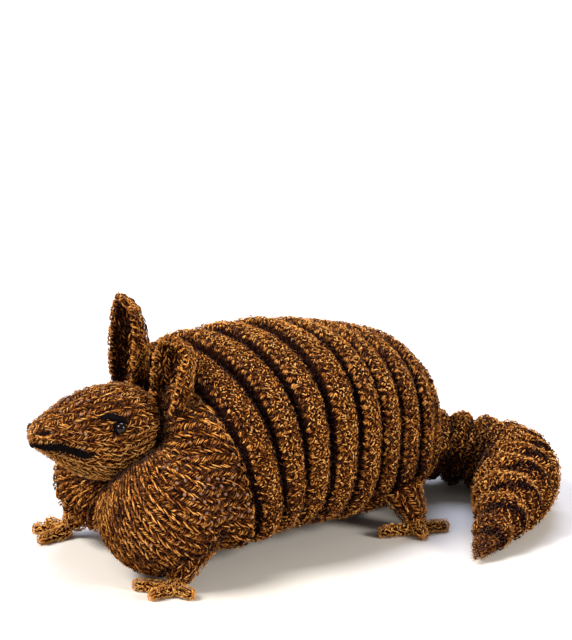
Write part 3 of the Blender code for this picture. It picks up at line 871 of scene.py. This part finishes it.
def shoulder_skin():
    """From the first furrow forward over the lobes to the neck, seen out from a point inside."""
    back = trunk_ring(FURROWS[0], FURROW_DEPTH, TRUNK_COLUMNS) - HEART
    angle = round_angles(TRUNK_COLUMNS)[:, None]
    lean = math.radians(NECK_LEAN)
    upward = np.array((0.0, -math.sin(lean), math.cos(lean)))
    sideways = np.array((1.0, 0.0, 0.0))
    neck = NECK_CENTRE - HEART + NECK_RADIUS * (np.cos(angle) * sideways + np.sin(angle) * upward)
    back_reach, neck_reach = np.linalg.norm(back, axis=1), np.linalg.norm(neck, axis=1)
    back_way, neck_way = unit(back), unit(neck)
    turn = np.arccos(np.clip(np.sum(back_way * neck_way, axis=1), -1.0, 1.0))[:, None]
    rings, sunk, far = [], [], 0.0
    for t in np.linspace(0.0, 1.0, 80):
        way = (np.sin((1.0 - t) * turn) * back_way + np.sin(t * turn) * neck_way) / np.sin(turn)
        reach = np.full(TRUNK_COLUMNS, 95.0)
        for _ in range(60):
            reach = reach - 0.7 * shoulder_distance(HEART + reach[:, None] * way)
        off_back = smooth_step(t / 0.09)
        at_neck = smooth_step((t - 0.88) / 0.12)
        reach = back_reach * (1.0 - off_back) + reach * off_back
        reach = reach * (1.0 - at_neck) + neck_reach * at_neck
        ring = HEART + reach[:, None] * way
        crease = smooth_step(1.0 - np.abs(head_distance(ring) - 1.5) / 8.0)
        ring = HEART + (reach - CREASE * crease)[:, None] * way
        if rings:
            far += float(np.mean(np.linalg.norm(ring - rings[-1], axis=1)))
        rings.append(ring)
        sunk.append(WALE_SAG * smooth_step(far / 40.0) * smooth_step((80.0 - far) / 36.0))
    return Skin(np.array([even_ring(ring, TRUNK_COLUMNS, sag) for ring, sag in zip(rings, sunk)]), 1.0)


def head_skin_grid():
    """From the back of the head to the nose, and round its end."""
    t = 0.5 - 0.5 * np.cos(math.pi * np.linspace(0.0, 1.0, 60))
    places = HEAD[0, 0] + (HEAD[-1, 0] - HEAD[0, 0]) * t
    height, width, tall = (values[:, None] for values in glides(HEAD, places))
    angle = round_angles(96)
    x = width * np.cos(angle)
    z = height + tall * np.sin(angle)
    y = np.repeat(places[:, None], 96, axis=1)
    points = np.stack([x, y, z], axis=2)
    tip = points[-1].mean(axis=0)
    nose = [
        tip + (points[-1] - tip) * math.cos(turn) - np.array((0.0, 0.9 * math.sin(turn), 0.0))
        for turn in np.radians((20.0, 40.0, 60.0, 75.0, 87.0))
    ]
    return Skin(np.concatenate([points, nose]), 1.0)


def tube_skin(points, radii, columns=32, steps=40):
    """A closed tube through points, its far end rounded off."""
    points, radii = np.asarray(points, dtype=float), np.asarray(radii, dtype=float)
    along = distance_along(points)
    table = np.column_stack([along, points, radii])
    at = along[-1] * np.linspace(0.0, 1.0, steps)
    *line, width = glides(table, at)
    line = np.stack(line, axis=1)
    to_end = np.clip((along[-1] - at) / width[-1], 0.0, 1.0)
    width = width * np.sqrt(np.clip(1.0 - (1.0 - to_end) ** 2, 0.0004, 1.0))
    return ringed_skin(line, width, columns)


def ringed_skin(line, width, columns):
    """A skin of round rings across a line."""
    runs = unit(np.gradient(line, axis=0))
    side = unit(np.cross(runs, (0.0, 0.0, 1.0)))
    steep = np.abs(runs[:, 2]) > 0.9
    if steep.any():
        side[steep] = unit(np.cross(runs[steep], (1.0, 0.0, 0.0)))
        side[:] = unit(side.mean(axis=0) - runs * (runs @ side.mean(axis=0))[:, None])
    upward = np.cross(side, runs)
    angle = round_angles(columns)[None, :, None]
    ways = np.cos(angle) * side[:, None] + np.sin(angle) * upward[:, None]
    return Skin(line[:, None] + width[:, None, None] * ways, -1.0)


def closed_faces(rows, columns, outward=1):
    """The faces of a closed grid of points, and of its ends, which run in to the two points after it."""
    r, c = np.meshgrid(np.arange(rows - 1), np.arange(columns), indexing="ij")
    near, far = r * columns + c, r * columns + (c + 1) % columns
    quads = np.stack([near, far, far + columns, near + columns], axis=-1).reshape(-1, 4)
    ring = np.arange(columns)
    after = (ring + 1) % columns
    top, first = (rows - 1) * columns, rows * columns
    tris = np.concatenate([
        np.stack([np.full(columns, first), after, ring], axis=1),
        np.stack([np.full(columns, first + 1), top + ring, top + after], axis=1),
    ])
    return [quads, tris] if outward > 0 else [np.roll(faces[:, ::-1], 1, axis=1) for faces in (quads, tris)]


def closed_form(name, skin, inset, fill=0.9, step=2, floor=0.3, furrows=0):
    """The stuffing under the stitches: a closed mesh a little inside the skin, with painted shade down its
    furrows.
    """
    points = (skin.points - skin.outs * inset)[::step]
    rows, columns = points.shape[:2]
    ends = np.array([points[0].mean(axis=0), points[-1].mean(axis=0)])
    vertices = np.concatenate([points.reshape(-1, 3), ends])
    vertices[:, 2] = np.maximum(vertices[:, 2], floor)
    mesh, corners = fill_mesh(name, vertices, closed_faces(rows, columns))
    rows_at = np.repeat(np.linspace(0.03, 0.97, rows), columns)
    columns_at = np.tile(np.linspace(0.03, 0.97, columns), rows)
    places = np.concatenate([np.stack([rows_at, columns_at], axis=1), ((0.02, 0.5), (0.98, 0.5))])
    bake_map(mesh, corners, places)
    # Painted shade: darker down the furrows, and wherever the skin's shadow darkens it.
    ridge = np.ones(rows)
    if furrows:
        off_middle = np.abs(2.0 * np.mod(np.linspace(0.001, 0.999, rows) * furrows, 1.0) - 1.0)
        ridge = 1.0 - smooth_step(off_middle / 0.75 - 0.33)
    tone = np.zeros((len(vertices), 3))
    tone[:rows * columns, 0] = np.repeat(ridge, columns)
    tone[:, 0] = np.clip(tone[:, 0] - 1.4 * value_at(skin.shadow, vertices), 0.0, 1.0)
    keep_attribute(mesh, "tone", tone)
    piece(name, mesh, deep_wool, fill=fill)


def painted_furrow_shade(at):
    """How much darker the wool is painted down the sides of a band: painted shade in its furrows."""
    return -1.1 * (smooth_step((0.27 - at) / 0.10) + smooth_step((at - 0.72) / 0.10))


def back_calm(at):
    """How even the wool is towards the back of a band."""
    return smooth_step((at - 0.52) / 0.18)


def front_scallop(at):
    """How high the plies stand in lumps at the front of a band, with painted shade between the lumps."""
    return 1.5 * smooth_step((0.38 - at) / 0.08)


def band_shadow(points):
    """How much darker the bands are low down, and towards the tail."""
    return 0.24 * smooth_step((34.0 - points[:, 2]) / 18.0) + 0.12 * smooth_step((points[:, 1] - 38.0) / 25.0)


def make_bands():
    for i, (front, back) in enumerate(zip(FURROWS, FURROWS[1:])):
        skin = band_skin(front, back)
        skin.shadow = band_shadow
        band = Yarn()
        moss(band, skin, WALES, 0.10, 0.90, shade=painted_furrow_shade, calm=back_calm, scallop=front_scallop)
        bumps(band, skin, 0.265)
        fuzz(band, skin, 1500, 900, shade=painted_furrow_shade)
        yarn_piece(f"knit_band_{i + 1}", band, f"band_{i + 1}", fill=0.9)
        closed_form(f"stuffing_band_{i + 1}", skin, INSET, furrows=1)
    # A plain core, so that no light comes through the furrows, painted near black as painted shade.
    places = np.linspace(FURROWS[0] + 0.6, FURROWS[-1] + 0.4, 60)
    core = Skin(np.stack([trunk_ring(place, 0.86 * FURROW_DEPTH, 96) for place in places]), -1.0)
    core.shadow = 0.65
    closed_form("stuffing_core", core, 0.0)
    skin = rump_skin()
    rump = Yarn()
    skin.shadow = lambda p: 0.1 + band_shadow(p)
    # Painted shade: the rump's wool darkens into the furrow at its front.
    moss(rump, skin, WALES, 0.05, 1.0, shade=lambda at: -0.5 * smooth_step((0.12 - at) / 0.07))
    bumps(rump, skin, 0.10)
    fuzz(rump, skin, 1300, 800)
    yarn_piece("knit_rump", rump, "rump", fill=0.9)
    closed_form("stuffing_rump", skin, INSET)


# Wales round, height of a row, and where each stretch of knitting starts and stops along its skin. Those of
# the head also say how much lighter they are.
SHOULDER_KNITTING = ((20, 3.2, 0.0, 0.07), (30, 3.6, 0.07, 0.15), (SHOULDER_WALES, SHOULDER_ROW, 0.15, 1.0))
HEAD_KNITTING = ((26, 3.8, 0.03, 0.57, 0.0), (18, 3.6, 0.57, 0.75, 0.0), (11, 3.3, 0.75, 0.89, -0.08))


def shoulder_shadow(points):
    """How much darker the shoulder is under the head, round the front legs and low down."""
    under_head = 1.1 * smooth_step((8.5 - head_distance(points)) / 8.0)
    round_legs = 0.6 * smooth_step((3.2 - front_leg_distance(points)) / 3.0)
    return under_head + round_legs + 0.1 * smooth_step((26.0 - points[:, 2]) / 16.0)


def make_shoulder():
    skin = shoulder_skin()
    skin.shadow = shoulder_shadow
    for name in ("left", "right"):
        half = Yarn()
        keep = lambda p, left=name == "left": ((p[:, 0] >= 0.0) == left) & (head_distance(p) >= -1.5)
        for places in SHOULDER_KNITTING:
            knit(half, skin, *places, keep=keep, loose=0.7)
        fuzz(half, skin, 4000, 3500, lying_lift=0.4, lying_length=1.8, keep=keep)
        if name == "left":
            flank_slubs(half, skin)
        nodes = ("shoulder",) if name == "left" else ()
        yarn_piece(f"knit_shoulder_{name}", half, *nodes, fill=0.9)
    closed_form("stuffing_shoulder", skin, 0.75)


def flank_slubs(yarn, skin):
    """Adds the pale balls of fibre gathered on the left flank, and a few strays."""
    grids = np.meshgrid(SHOULDER_WALES - 3.0 + 0.5 * np.arange(6), 1.5 + np.arange(9))
    lines, stitches = (grid.ravel() for grid in grids)
    likely = 0.8 - 0.10 * np.abs(lines - SHOULDER_WALES + 1.7) - 0.02 * stitches
    chosen = rng.uniform(0.0, 1.0, len(lines)) < likely
    across = lines[chosen] / SHOULDER_WALES
    along = (stitches[chosen] + 0.12 * normal(len(across))) * SHOULDER_ROW / skin.column_length(across)
    slubs(yarn, skin, along, across + 0.0015 * normal(len(across)), 0.56)
    slubs(yarn, skin, rng.uniform(0.02, 0.6, 14), np.mod(rng.uniform(0.8, 1.2, 14), 1.0), 0.5)


def make_head():
    skin = head_skin_grid()
    head = Yarn()
    keep = lambda p: shoulder_distance(p) > -2.0
    # Painted light: a negative shadow, so the head is painted lighter low down, as if lit from below.
    skin.shadow = lambda p: -0.45 * smooth_step((58.0 - p[:, 2]) / 15.0)
    for *places, shade in HEAD_KNITTING:
        knit(head, skin, *places, thickness=0.68, loose=1.5, keep=keep, shade=shade)
    moss(head, skin, 8, 0.86, 1.0, spacing=0.85, thickness=0.85, lift=0.15, shade=-0.1)
    fuzz(head, skin, 2200, 1600, 1.2, 0.4, 1.7, keep=keep)
    slubs(head, skin, rng.uniform(0.3, 0.8, 34), rng.uniform(0.0, 1.0, 34), 0.5)
    nostrils(head)
    yarn_piece("knit_head", head, "head", fill=0.95)
    # The stuffing stops short of the nose's end, where the yarn is close enough to hide it.
    closed_form("stuffing_head", Skin(skin.points[:-9], 1.0), INSET)


def head_skin(place, degrees, side):
    """A point of the head's skin and the way out of it there, on the left (1) or the right (-1)."""
    height, width, tall = glides(HEAD, place)
    slope = glide(HEAD, 2, place - 0.5) - glide(HEAD, 2, place + 0.5)
    angle = np.radians(degrees)
    point = np.stack([side * width * np.cos(angle), place, height + tall * np.sin(angle)], axis=-1)
    out = unit(np.stack([side * np.cos(angle), slope, np.sin(angle)], axis=-1))
    return point, out


def nostrils(yarn):
    """Adds a curled loop of yarn on either side of the nose, golden below a dark brown hollow; the hollow and
    the loop's dark upper arc are painted shade inside the loop.
    """
    for side, lean, back in ((1.0, 28.0, 0.0), (-1.0, 14.0, 1.0)):
        for start, stop, shade, root in ((math.pi, TURN, 0.2, 0.2), (0.1, math.pi - 0.1, -0.45, 0.6)):
            turn = np.linspace(start, stop, 9)
            degrees = lean - 4.0 * np.cos(turn) + 13.0 * np.sin(turn)
            points, outs = head_skin(back - 77.7 + 1.7 * np.cos(turn), degrees, side)
            lines = (points + 0.85 * outs)[None] + 0.04 * normal(1, 9, 3)
            place = np.array(((0.985, root + 0.1 * side),))
            lay_yarn(yarn, lines, outs[None], place, 0.6, shade=shade, ends=0.6)
        middle, out = head_skin(back + np.linspace(-76.1, -79.1, 6), lean + np.linspace(0.0, 6.0, 6), side)
        radii = 0.8 * swelling(6, 0.5)[None]
        root, tone = np.array(((0.985, 0.5 + 0.1 * side),)), np.array(((-0.3, 0.0, 0.0),))
        yarn.add((middle + 0.25 * out)[None], out[None], radii, root, tone, sides=6)


def ear_skin(name, outward):
    """A leaf curled round its upward axis, seen from outside (1) or from the hollow (-1)."""
    foot, axis, facing, height, half_width = EARS[name]
    axis = unit(np.array(axis))
    facing = np.array(facing)
    facing = unit(facing - axis * (facing @ axis))
    across = np.cross(facing, axis)
    t = np.linspace(0.0, 1.0, 30)[:, None, None]
    k = np.linspace(-1.0, 1.0, 28)[None, :, None]
    radius = half_width * glide(EAR_SHAPES[name], 1, t)
    angle = math.radians(EAR_CURL) * (1.0 - 0.35 * t * t) * k
    points = np.array(foot) + axis * height * t + facing * (0.1 * height * t * t)
    points = points + radius * (np.sin(angle) * across - np.cos(angle) * facing)
    return Skin(points, outward, closed=False)


# The loops along an ear's edge: their spacing, the thickness of their yarn, and how far they stand out.
RIM_SPACING = 1.7
RIM_THICKNESS = 0.74
RIM_REACH = 1.1


def rim_loops(yarn, skin, shade):
    """Adds the stitches bound off over an ear's edge: loops from the hollow side to the outside."""
    def round_edge(grid, column, tip):
        return np.concatenate([grid[3:, column], tip, grid[::-1, -1 - column][:-3]])

    tip = skin.points[-1, 1:-1]
    path = round_edge(skin.points, 0, tip)
    inner = round_edge(skin.points, 3, np.tile(skin.points[-4].mean(axis=0), (len(tip), 1)))
    outs = round_edge(skin.outs, 0, skin.outs[-1, 1:-1])
    along = distance_along(path)
    at = np.arange(0.5, along[-1], RIM_SPACING)
    centre, inner, out = (read_line(values, along, at) for values in (path, inner, outs))
    out = unit(out)
    edge = unit(centre - inner)
    edge = unit(edge - out * np.sum(edge * out, axis=1)[:, None])
    sweep = (np.linspace(-1.15, 1.15, 7) * math.pi / 2.0)[None, :, None]
    slant = (np.linspace(-0.6, 0.6, 7) + 0.4 * normal(len(at), 1))[..., None]
    reach = RIM_REACH + 0.22 * normal(len(at), 1, 1)
    lines = centre[:, None] + slant * RIM_SPACING * np.cross(out, edge)[:, None]
    lines = lines + reach * (np.sin(sweep) * out[:, None] + (np.cos(sweep) * 0.8 - 0.25) * edge[:, None])
    normals = unit(np.sin(sweep) * out[:, None] + np.cos(sweep) * edge[:, None])
    roots = np.stack([0.02 + 0.96 * at / along[-1], np.full(len(at), 0.985)], axis=1)
    lay_yarn(yarn, lines, normals, roots, RIM_THICKNESS, shade=shade)


def make_ears():
    keep = lambda p: (head_distance(p) >= -1.0) & (shoulder_distance(p) > -1.0)
    # Each ear's rows, its outer side's tone shift, and the painted shade of its hollow, deeper for the far
    # ear.
    for name, rows, dim, hollow in (("ear_right", 11, -0.08, -0.35), ("ear_left", 8, 0.02, -0.1)):
        outer, inner = ear_skin(name, 1.0), ear_skin(name, -1.0)
        # Painted shade: the ears darken towards their feet.
        outer.shadow = inner.shadow = lambda p: 0.45 * smooth_step((64.0 - p[:, 2]) / 9.0)
        outer.window, inner.window = ((0.0, 0.0), (1.0, 0.48)), ((0.0, 0.48), (1.0, 0.96))
        ear = Yarn()
        for side, wales, shade in ((outer, 7, dim), (inner, 6, hollow)):
            knit(ear, side, wales, rows=rows, thickness=0.85, lift=1.0, loose=2.0, keep=keep, shade=shade)
        rim_loops(ear, outer, dim)
        hairs(ear, outer, 500, 1.6)
        yarn_piece(f"knit_{name}", ear, name, fill=0.3)
        points, half = outer.points[::3], outer.outs[::3] * 0.35
        shell = np.concatenate([points + half, (points - half)[:, ::-1]], axis=1)
        closed_form(f"lining_{name}", Skin(shell, 1.0), 0.0, fill=0.3)


TAIL_RINGS = 13
TAIL_PARTS = (("tail_base", 0, 4), ("tail_middle", 4, 9), ("tail_tip", 9, 13))


def tail_skin():
    """The whole tail, swelling at each ring, its stitches' middle drawn in where it is slender."""
    along = distance_along(TAIL[:, :3])
    table = np.column_stack([along / along[-1], TAIL])
    at = np.linspace(0.0, 1.0, 260)
    *line, width = glides(table, at)
    line = np.stack(line, axis=1)
    slender = np.minimum(1.0, width / 11.0)
    ring = 0.7 - 3.4 * np.abs(2.0 * np.mod(at * TAIL_RINGS, 1.0) - 1.0) ** 2.0
    return ringed_skin(line, np.maximum(width + ring * slender - 1.9 * (1.0 - slender), 0.3), 64)


def part_of(skin, start, stop):
    """The part of a tube's skin between two shares of its length."""
    rows = len(skin.points)
    return Skin(skin.points[int(start * (rows - 1)):int(stop * (rows - 1)) + 1], -1.0)


def tail_shadow(points):
    """How much darker the tail is low down at its root, and towards its tip."""
    x, y, z = points.T
    root = smooth_step((21.0 - z) / 10.0) * smooth_step((26.0 - x) / 16.0)
    return 0.7 * root + 0.3 * smooth_step((68.0 - y) / 12.0) * (x > 40.0)


def painted_ring_shade(at):
    """How much darker the wool is painted at either end of one of the tail's rings: painted shade down its
    furrows.
    """
    return -0.7 * smooth_step((np.abs(2.0 * at - 1.0) - 0.62) / 0.34)


def make_tail():
    whole = tail_skin()
    for name, first, last in TAIL_PARTS:
        part = Yarn()
        for ring in range(first, last):
            skin = part_of(whole, ring / TAIL_RINGS, (ring + 1) / TAIL_RINGS)
            skin.window = (((ring - first) / (last - first), 0.0), ((ring - first + 1) / (last - first), 1.0))
            skin.shadow = tail_shadow
            wales = max(4, int(round(float(np.mean(skin.round_reach)) / 5.0)))
            moss(part, skin, wales, 0.0, 1.0, 1.1, 0.95, shade=painted_ring_shade, calm=0.45)
        span = part_of(whole, first / TAIL_RINGS, last / TAIL_RINGS)
        fuzz(part, span, 1300, 500)
        yarn_piece(f"knit_{name}", part, name, fill=0.85)
        closed_form(f"stuffing_{name}", span, 0.5, step=4, furrows=last - first)


def toe_line(ankle, end):
    """The points and radii of a toe, from under the ankle down to the floor and out to its end."""
    start = np.array((*ankle[:2], TOE_ROOT_HEIGHT))
    tip = np.array((*end, TOE_RADIUS - SOLE_SINK))
    points = []
    for t in (0.0, 0.3, 0.65, 1.0):
        point = start + (tip - start) * t
        point[2] = max(tip[2], start[2] - 5.0 * t)
        points.append(point)
    return points, (1.2 * TOE_RADIUS, 1.15 * TOE_RADIUS, TOE_RADIUS, 0.95 * TOE_RADIUS)


def make_legs():
    for name, (top, ankle, toes) in LEGS.items():
        top, ankle = np.array(top), np.array(ankle)
        fall = unit(ankle - top)
        leg = Yarn()
        radii = (LEG_TOP_RADIUS, 0.5 * (LEG_TOP_RADIUS + ANKLE_RADIUS), ANKLE_RADIUS)
        skin = tube_skin([top, top + (ankle - top) * 0.5, ankle + fall * 2.0], radii)
        hidden = shoulder_distance if "front" in name else trunk_distance
        keep = lambda p, hidden=hidden: hidden(p) > -1.5
        knit(leg, skin, 7, 3.0, thickness=0.8, loose=1.8, keep=keep)
        hairs(leg, skin, 220, 1.5, keep)
        yarn_piece(f"knit_leg_{name}", leg, f"leg_{name}", fill=0.8)
        closed_form(f"stuffing_leg_{name}", skin, 1.0)
        foot = Yarn()
        for i, end in enumerate(toes):
            points, radii = toe_line(ankle + fall * 1.2, end)
            toe = tube_skin(points, radii, 20, 30)
            toe.window = ((0.0, i / len(toes)), (1.0, (i + 1) / len(toes)))
            knit(foot, toe, 5, 2.4, thickness=0.66, loose=1.8, lift=0.2, shade=0.36)
            hairs(foot, toe, 60, 1.2)
            closed_form(f"stuffing_toe_{name}_{i + 1}", toe, 0.6, floor=0.25)
        yarn_piece(f"knit_foot_{name}", foot, f"foot_{name}", fill=0.7)


def head_path(places, side, spacing):
    """Points evenly spaced along a line on the head's skin, with the way out at each."""
    places = np.array(places)
    fine = np.linspace(0.0, len(places) - 1.0, 200)
    knots = np.column_stack([np.arange(len(places)), places])
    points, outs = head_skin(glide(knots, 1, fine), glide(knots, 2, fine), side)
    along = distance_along(points)
    at = np.linspace(0.0, along[-1], max(4, int(round(along[-1] / spacing)) + 1))
    return read_line(points, along, at), unit(read_line(outs, along, at))


def thread_strands(yarn, lines, outs, radius):
    """Adds black threads, each as one smooth strand."""
    count, steps = lines.shape[:2]
    radii = radius * swelling(steps, 0.35)[None] * (1.0 + 0.08 * normal(count, 1))
    roots = np.stack([np.linspace(0.05, 0.95, count), np.full(count, 0.5)], axis=1)
    yarn.add(lines, outs, radii, roots, rng.uniform(0.0, 1.0, (count, 3)), sides=6)


# How close together the mouth's stitches are, how many degrees they slant, and how many threads a lid has.
MOUTH_SPACING = 0.5
SATIN_SLANT = 62.0
LID_THREADS = 7


def satin(yarn, points, outs, half_length, radius, lift):
    """Slanting stitches laid side by side across a line."""
    runs, side, _ = ways_round(points, outs)
    lean = math.radians(SATIN_SLANT)
    way = (math.cos(lean) * runs + math.sin(lean) * side)[:, None]
    x = np.linspace(-1.0, 1.0, 8)[None, :, None]
    lines = points[:, None] + half_length[:, None, None] * x * way
    lines = lines + (lift + 0.45 * (1.0 - x ** 2) - 0.25) * outs[:, None]
    thread_strands(yarn, lines, np.repeat(outs[:, None], 8, axis=1), radius)


def make_mouth():
    left, left_outs = head_path(MOUTH, 1.0, 0.2)
    right, right_outs = head_path(RIGHT_MOUTH, -1.0, 0.2)
    middle, middle_out = head_skin(*MOUTH_MIDDLE, 1.0)
    points = np.concatenate([left, middle[None], right[::-1]])
    outs = np.concatenate([left_outs, middle_out[None], right_outs[::-1]])
    along = distance_along(points)
    at = np.linspace(0.0, along[-1], int(along[-1] / MOUTH_SPACING))
    points, outs = read_line(points, along, at), unit(read_line(outs, along, at))
    from_end = np.minimum(at, along[-1] - at)
    half_length = 0.8 + 1.4 * smooth_step(from_end / 4.0) - 1.0 * smooth_step((from_end - 13.0) / 5.0)
    mouth = Yarn()
    satin(mouth, points, outs, 0.85 * half_length, 0.36, 0.1)
    half_length = half_length * (1.0 + 0.12 * normal(len(at)))
    satin(mouth, points[::2], outs[::2], half_length[::2], 0.38, 0.55)
    yarn_piece("stitched_mouth", mouth, "mouth", material=black_thread, slot="black_thread")


def make_eye(name, side, drop):
    """Makes an eye: laid threads for the lid, two threads half round the bead, and the bead."""
    points, outs = head_path([(place, degrees - drop) for place, degrees in EYELID], side, 1.0)
    _, across, _ = ways_round(points, outs)
    count = len(points)
    taper = np.sin(math.pi * np.linspace(0.06, 0.97, count)) ** 0.7
    spread = np.linspace(-0.8, 0.8, LID_THREADS)[:, None, None] * taper[None, :, None]
    bow = 0.45 + 0.45 * swelling(count, 1.0)[None, :, None]
    bow = bow + 0.12 * normal(LID_THREADS, 1, 1)
    lid = Yarn()
    lines = points[None] + spread * across[None] + bow * outs[None]
    thread_strands(lid, lines, np.repeat(outs[None], LID_THREADS, axis=0), 0.42)
    eye, out = head_skin(EYE[0], EYE[1] - drop, side)
    ahead = unit(np.cross(out, np.cross((0.0, -1.0, 0.0), out)))
    above = unit(np.cross(out, ahead))
    above = above * np.sign(above[2])
    turn = np.linspace(math.radians(-75.0), math.radians(110.0), 14)[None, :, None]
    reach = EYE_RADIUS + np.array((0.05, 0.3))[:, None, None]
    ring = eye + 0.5 * out + reach * (np.cos(turn) * ahead + np.sin(turn) * above)
    thread_strands(lid, ring, np.tile(out, (2, 14, 1)), 0.24)
    yarn_piece(f"stitched_eyelid_{name}", lid, f"eyelid_{name}", material=black_thread, slot="black_thread")
    make_bead(f"bead_eye_{name}", eye + out * 0.85, f"eye_{name}")


def make_bead(name, centre, node):
    rings, columns = 18, 28
    polar = np.linspace(0.0, math.pi, rings + 2)[1:-1, None]
    angle = round_angles(columns)[None, :]
    wide, high = np.sin(polar), np.cos(polar)
    ball = np.stack([wide * np.cos(angle), wide * np.sin(angle), high + 0.0 * angle], axis=2)
    points = np.concatenate([ball.reshape(-1, 3), ((0.0, 0.0, 1.0), (0.0, 0.0, -1.0))]) * EYE_RADIUS + centre
    mesh, _ = fill_mesh(name, points, closed_faces(rings, columns, -1))
    piece(name, mesh, dark_bead, node, slot="dark_bead")


make_bands()
make_shoulder()
make_head()
make_mouth()
make_eye("left", 1.0, 0.0)
make_eye("right", -1.0, RIGHT_EYELID_DROP)
make_ears()
make_tail()
make_legs()

# ---------------------------------------------------------------- floor, light and camera


def make_floor():
    mesh = bpy.data.meshes.new("floor")
    mesh.from_pydata([(-3, -3, 0), (3, -3, 0), (3, 3, 0), (-3, 3, 0)], [], [(0, 1, 2, 3)])
    floor = bpy.data.objects.new("floor", mesh)
    bpy.context.scene.collection.objects.link(floor)
    material = Material("pale_floor")
    material.set_shader(Base_Color=(0.80, 0.77, 0.72, 1.0), Roughness=0.8)
    mesh.materials.append(material.made)


# Name, place, size, energy and colour of each light.
LIGHTS = (
    ("key", (-0.25, -0.85, 1.0), 0.5, 23.0, (1.0, 0.96, 0.91)),
    ("fill", (1.15, 0.55, 0.62), 0.42, 16.0, (1.0, 0.95, 0.88)),
    ("back", (-0.5, 0.5, 1.1), 0.7, 14.0, (0.70, 0.77, 1.0)),
)
LIGHT_AIM = Vector((0.0, 0.0, 0.03))


def make_light(name, place, size, energy, colour):
    light = bpy.data.lights.new(name, "AREA")
    light.shape, light.size, light.energy, light.color = "SQUARE", size, energy, colour
    obj = bpy.data.objects.new(name, light)
    obj.location = place
    obj.rotation_euler = (Vector(place) - LIGHT_AIM).to_track_quat("Z", "Y").to_euler()
    bpy.context.scene.collection.objects.link(obj)


# The camera's bearing from the front towards the toy's left, its height over the horizon, lens and place.
AZIMUTH = math.radians(54.3)
ELEVATION = math.radians(17.5)
LENS = 143.45
CAMERA_PLACE = Vector((0.9994, -0.6966, 0.4599)) - Vector(MIDDLE * MM)


def make_camera():
    level = Vector((math.sin(AZIMUTH), -math.cos(AZIMUTH), 0.0)) * math.cos(ELEVATION)
    away = level + Vector((0.0, 0.0, math.sin(ELEVATION)))
    right = Vector((math.cos(AZIMUTH), math.sin(AZIMUTH), 0.0))
    camera = bpy.data.cameras.new("camera")
    camera.sensor_fit = "VERTICAL"
    camera.sensor_height = 24.0
    camera.lens = LENS
    camera.clip_start = 0.01
    obj = bpy.data.objects.new("camera", camera)
    placed = Matrix((right, away.cross(right), away)).transposed().to_4x4()
    placed.translation = CAMERA_PLACE
    obj.matrix_world = placed
    bpy.context.scene.collection.objects.link(obj)
    bpy.context.scene.camera = obj


make_floor()
for light_values in LIGHTS:
    make_light(*light_values)
world = bpy.data.worlds.new("studio")
world.use_nodes = True
world.node_tree.nodes["Background"].inputs["Color"].default_value = (0.93, 0.92, 0.90, 1.0)
world.node_tree.nodes["Background"].inputs["Strength"].default_value = 0.28
bpy.context.scene.world = world
bpy.context.scene.view_settings.view_transform = "Standard"
make_camera()
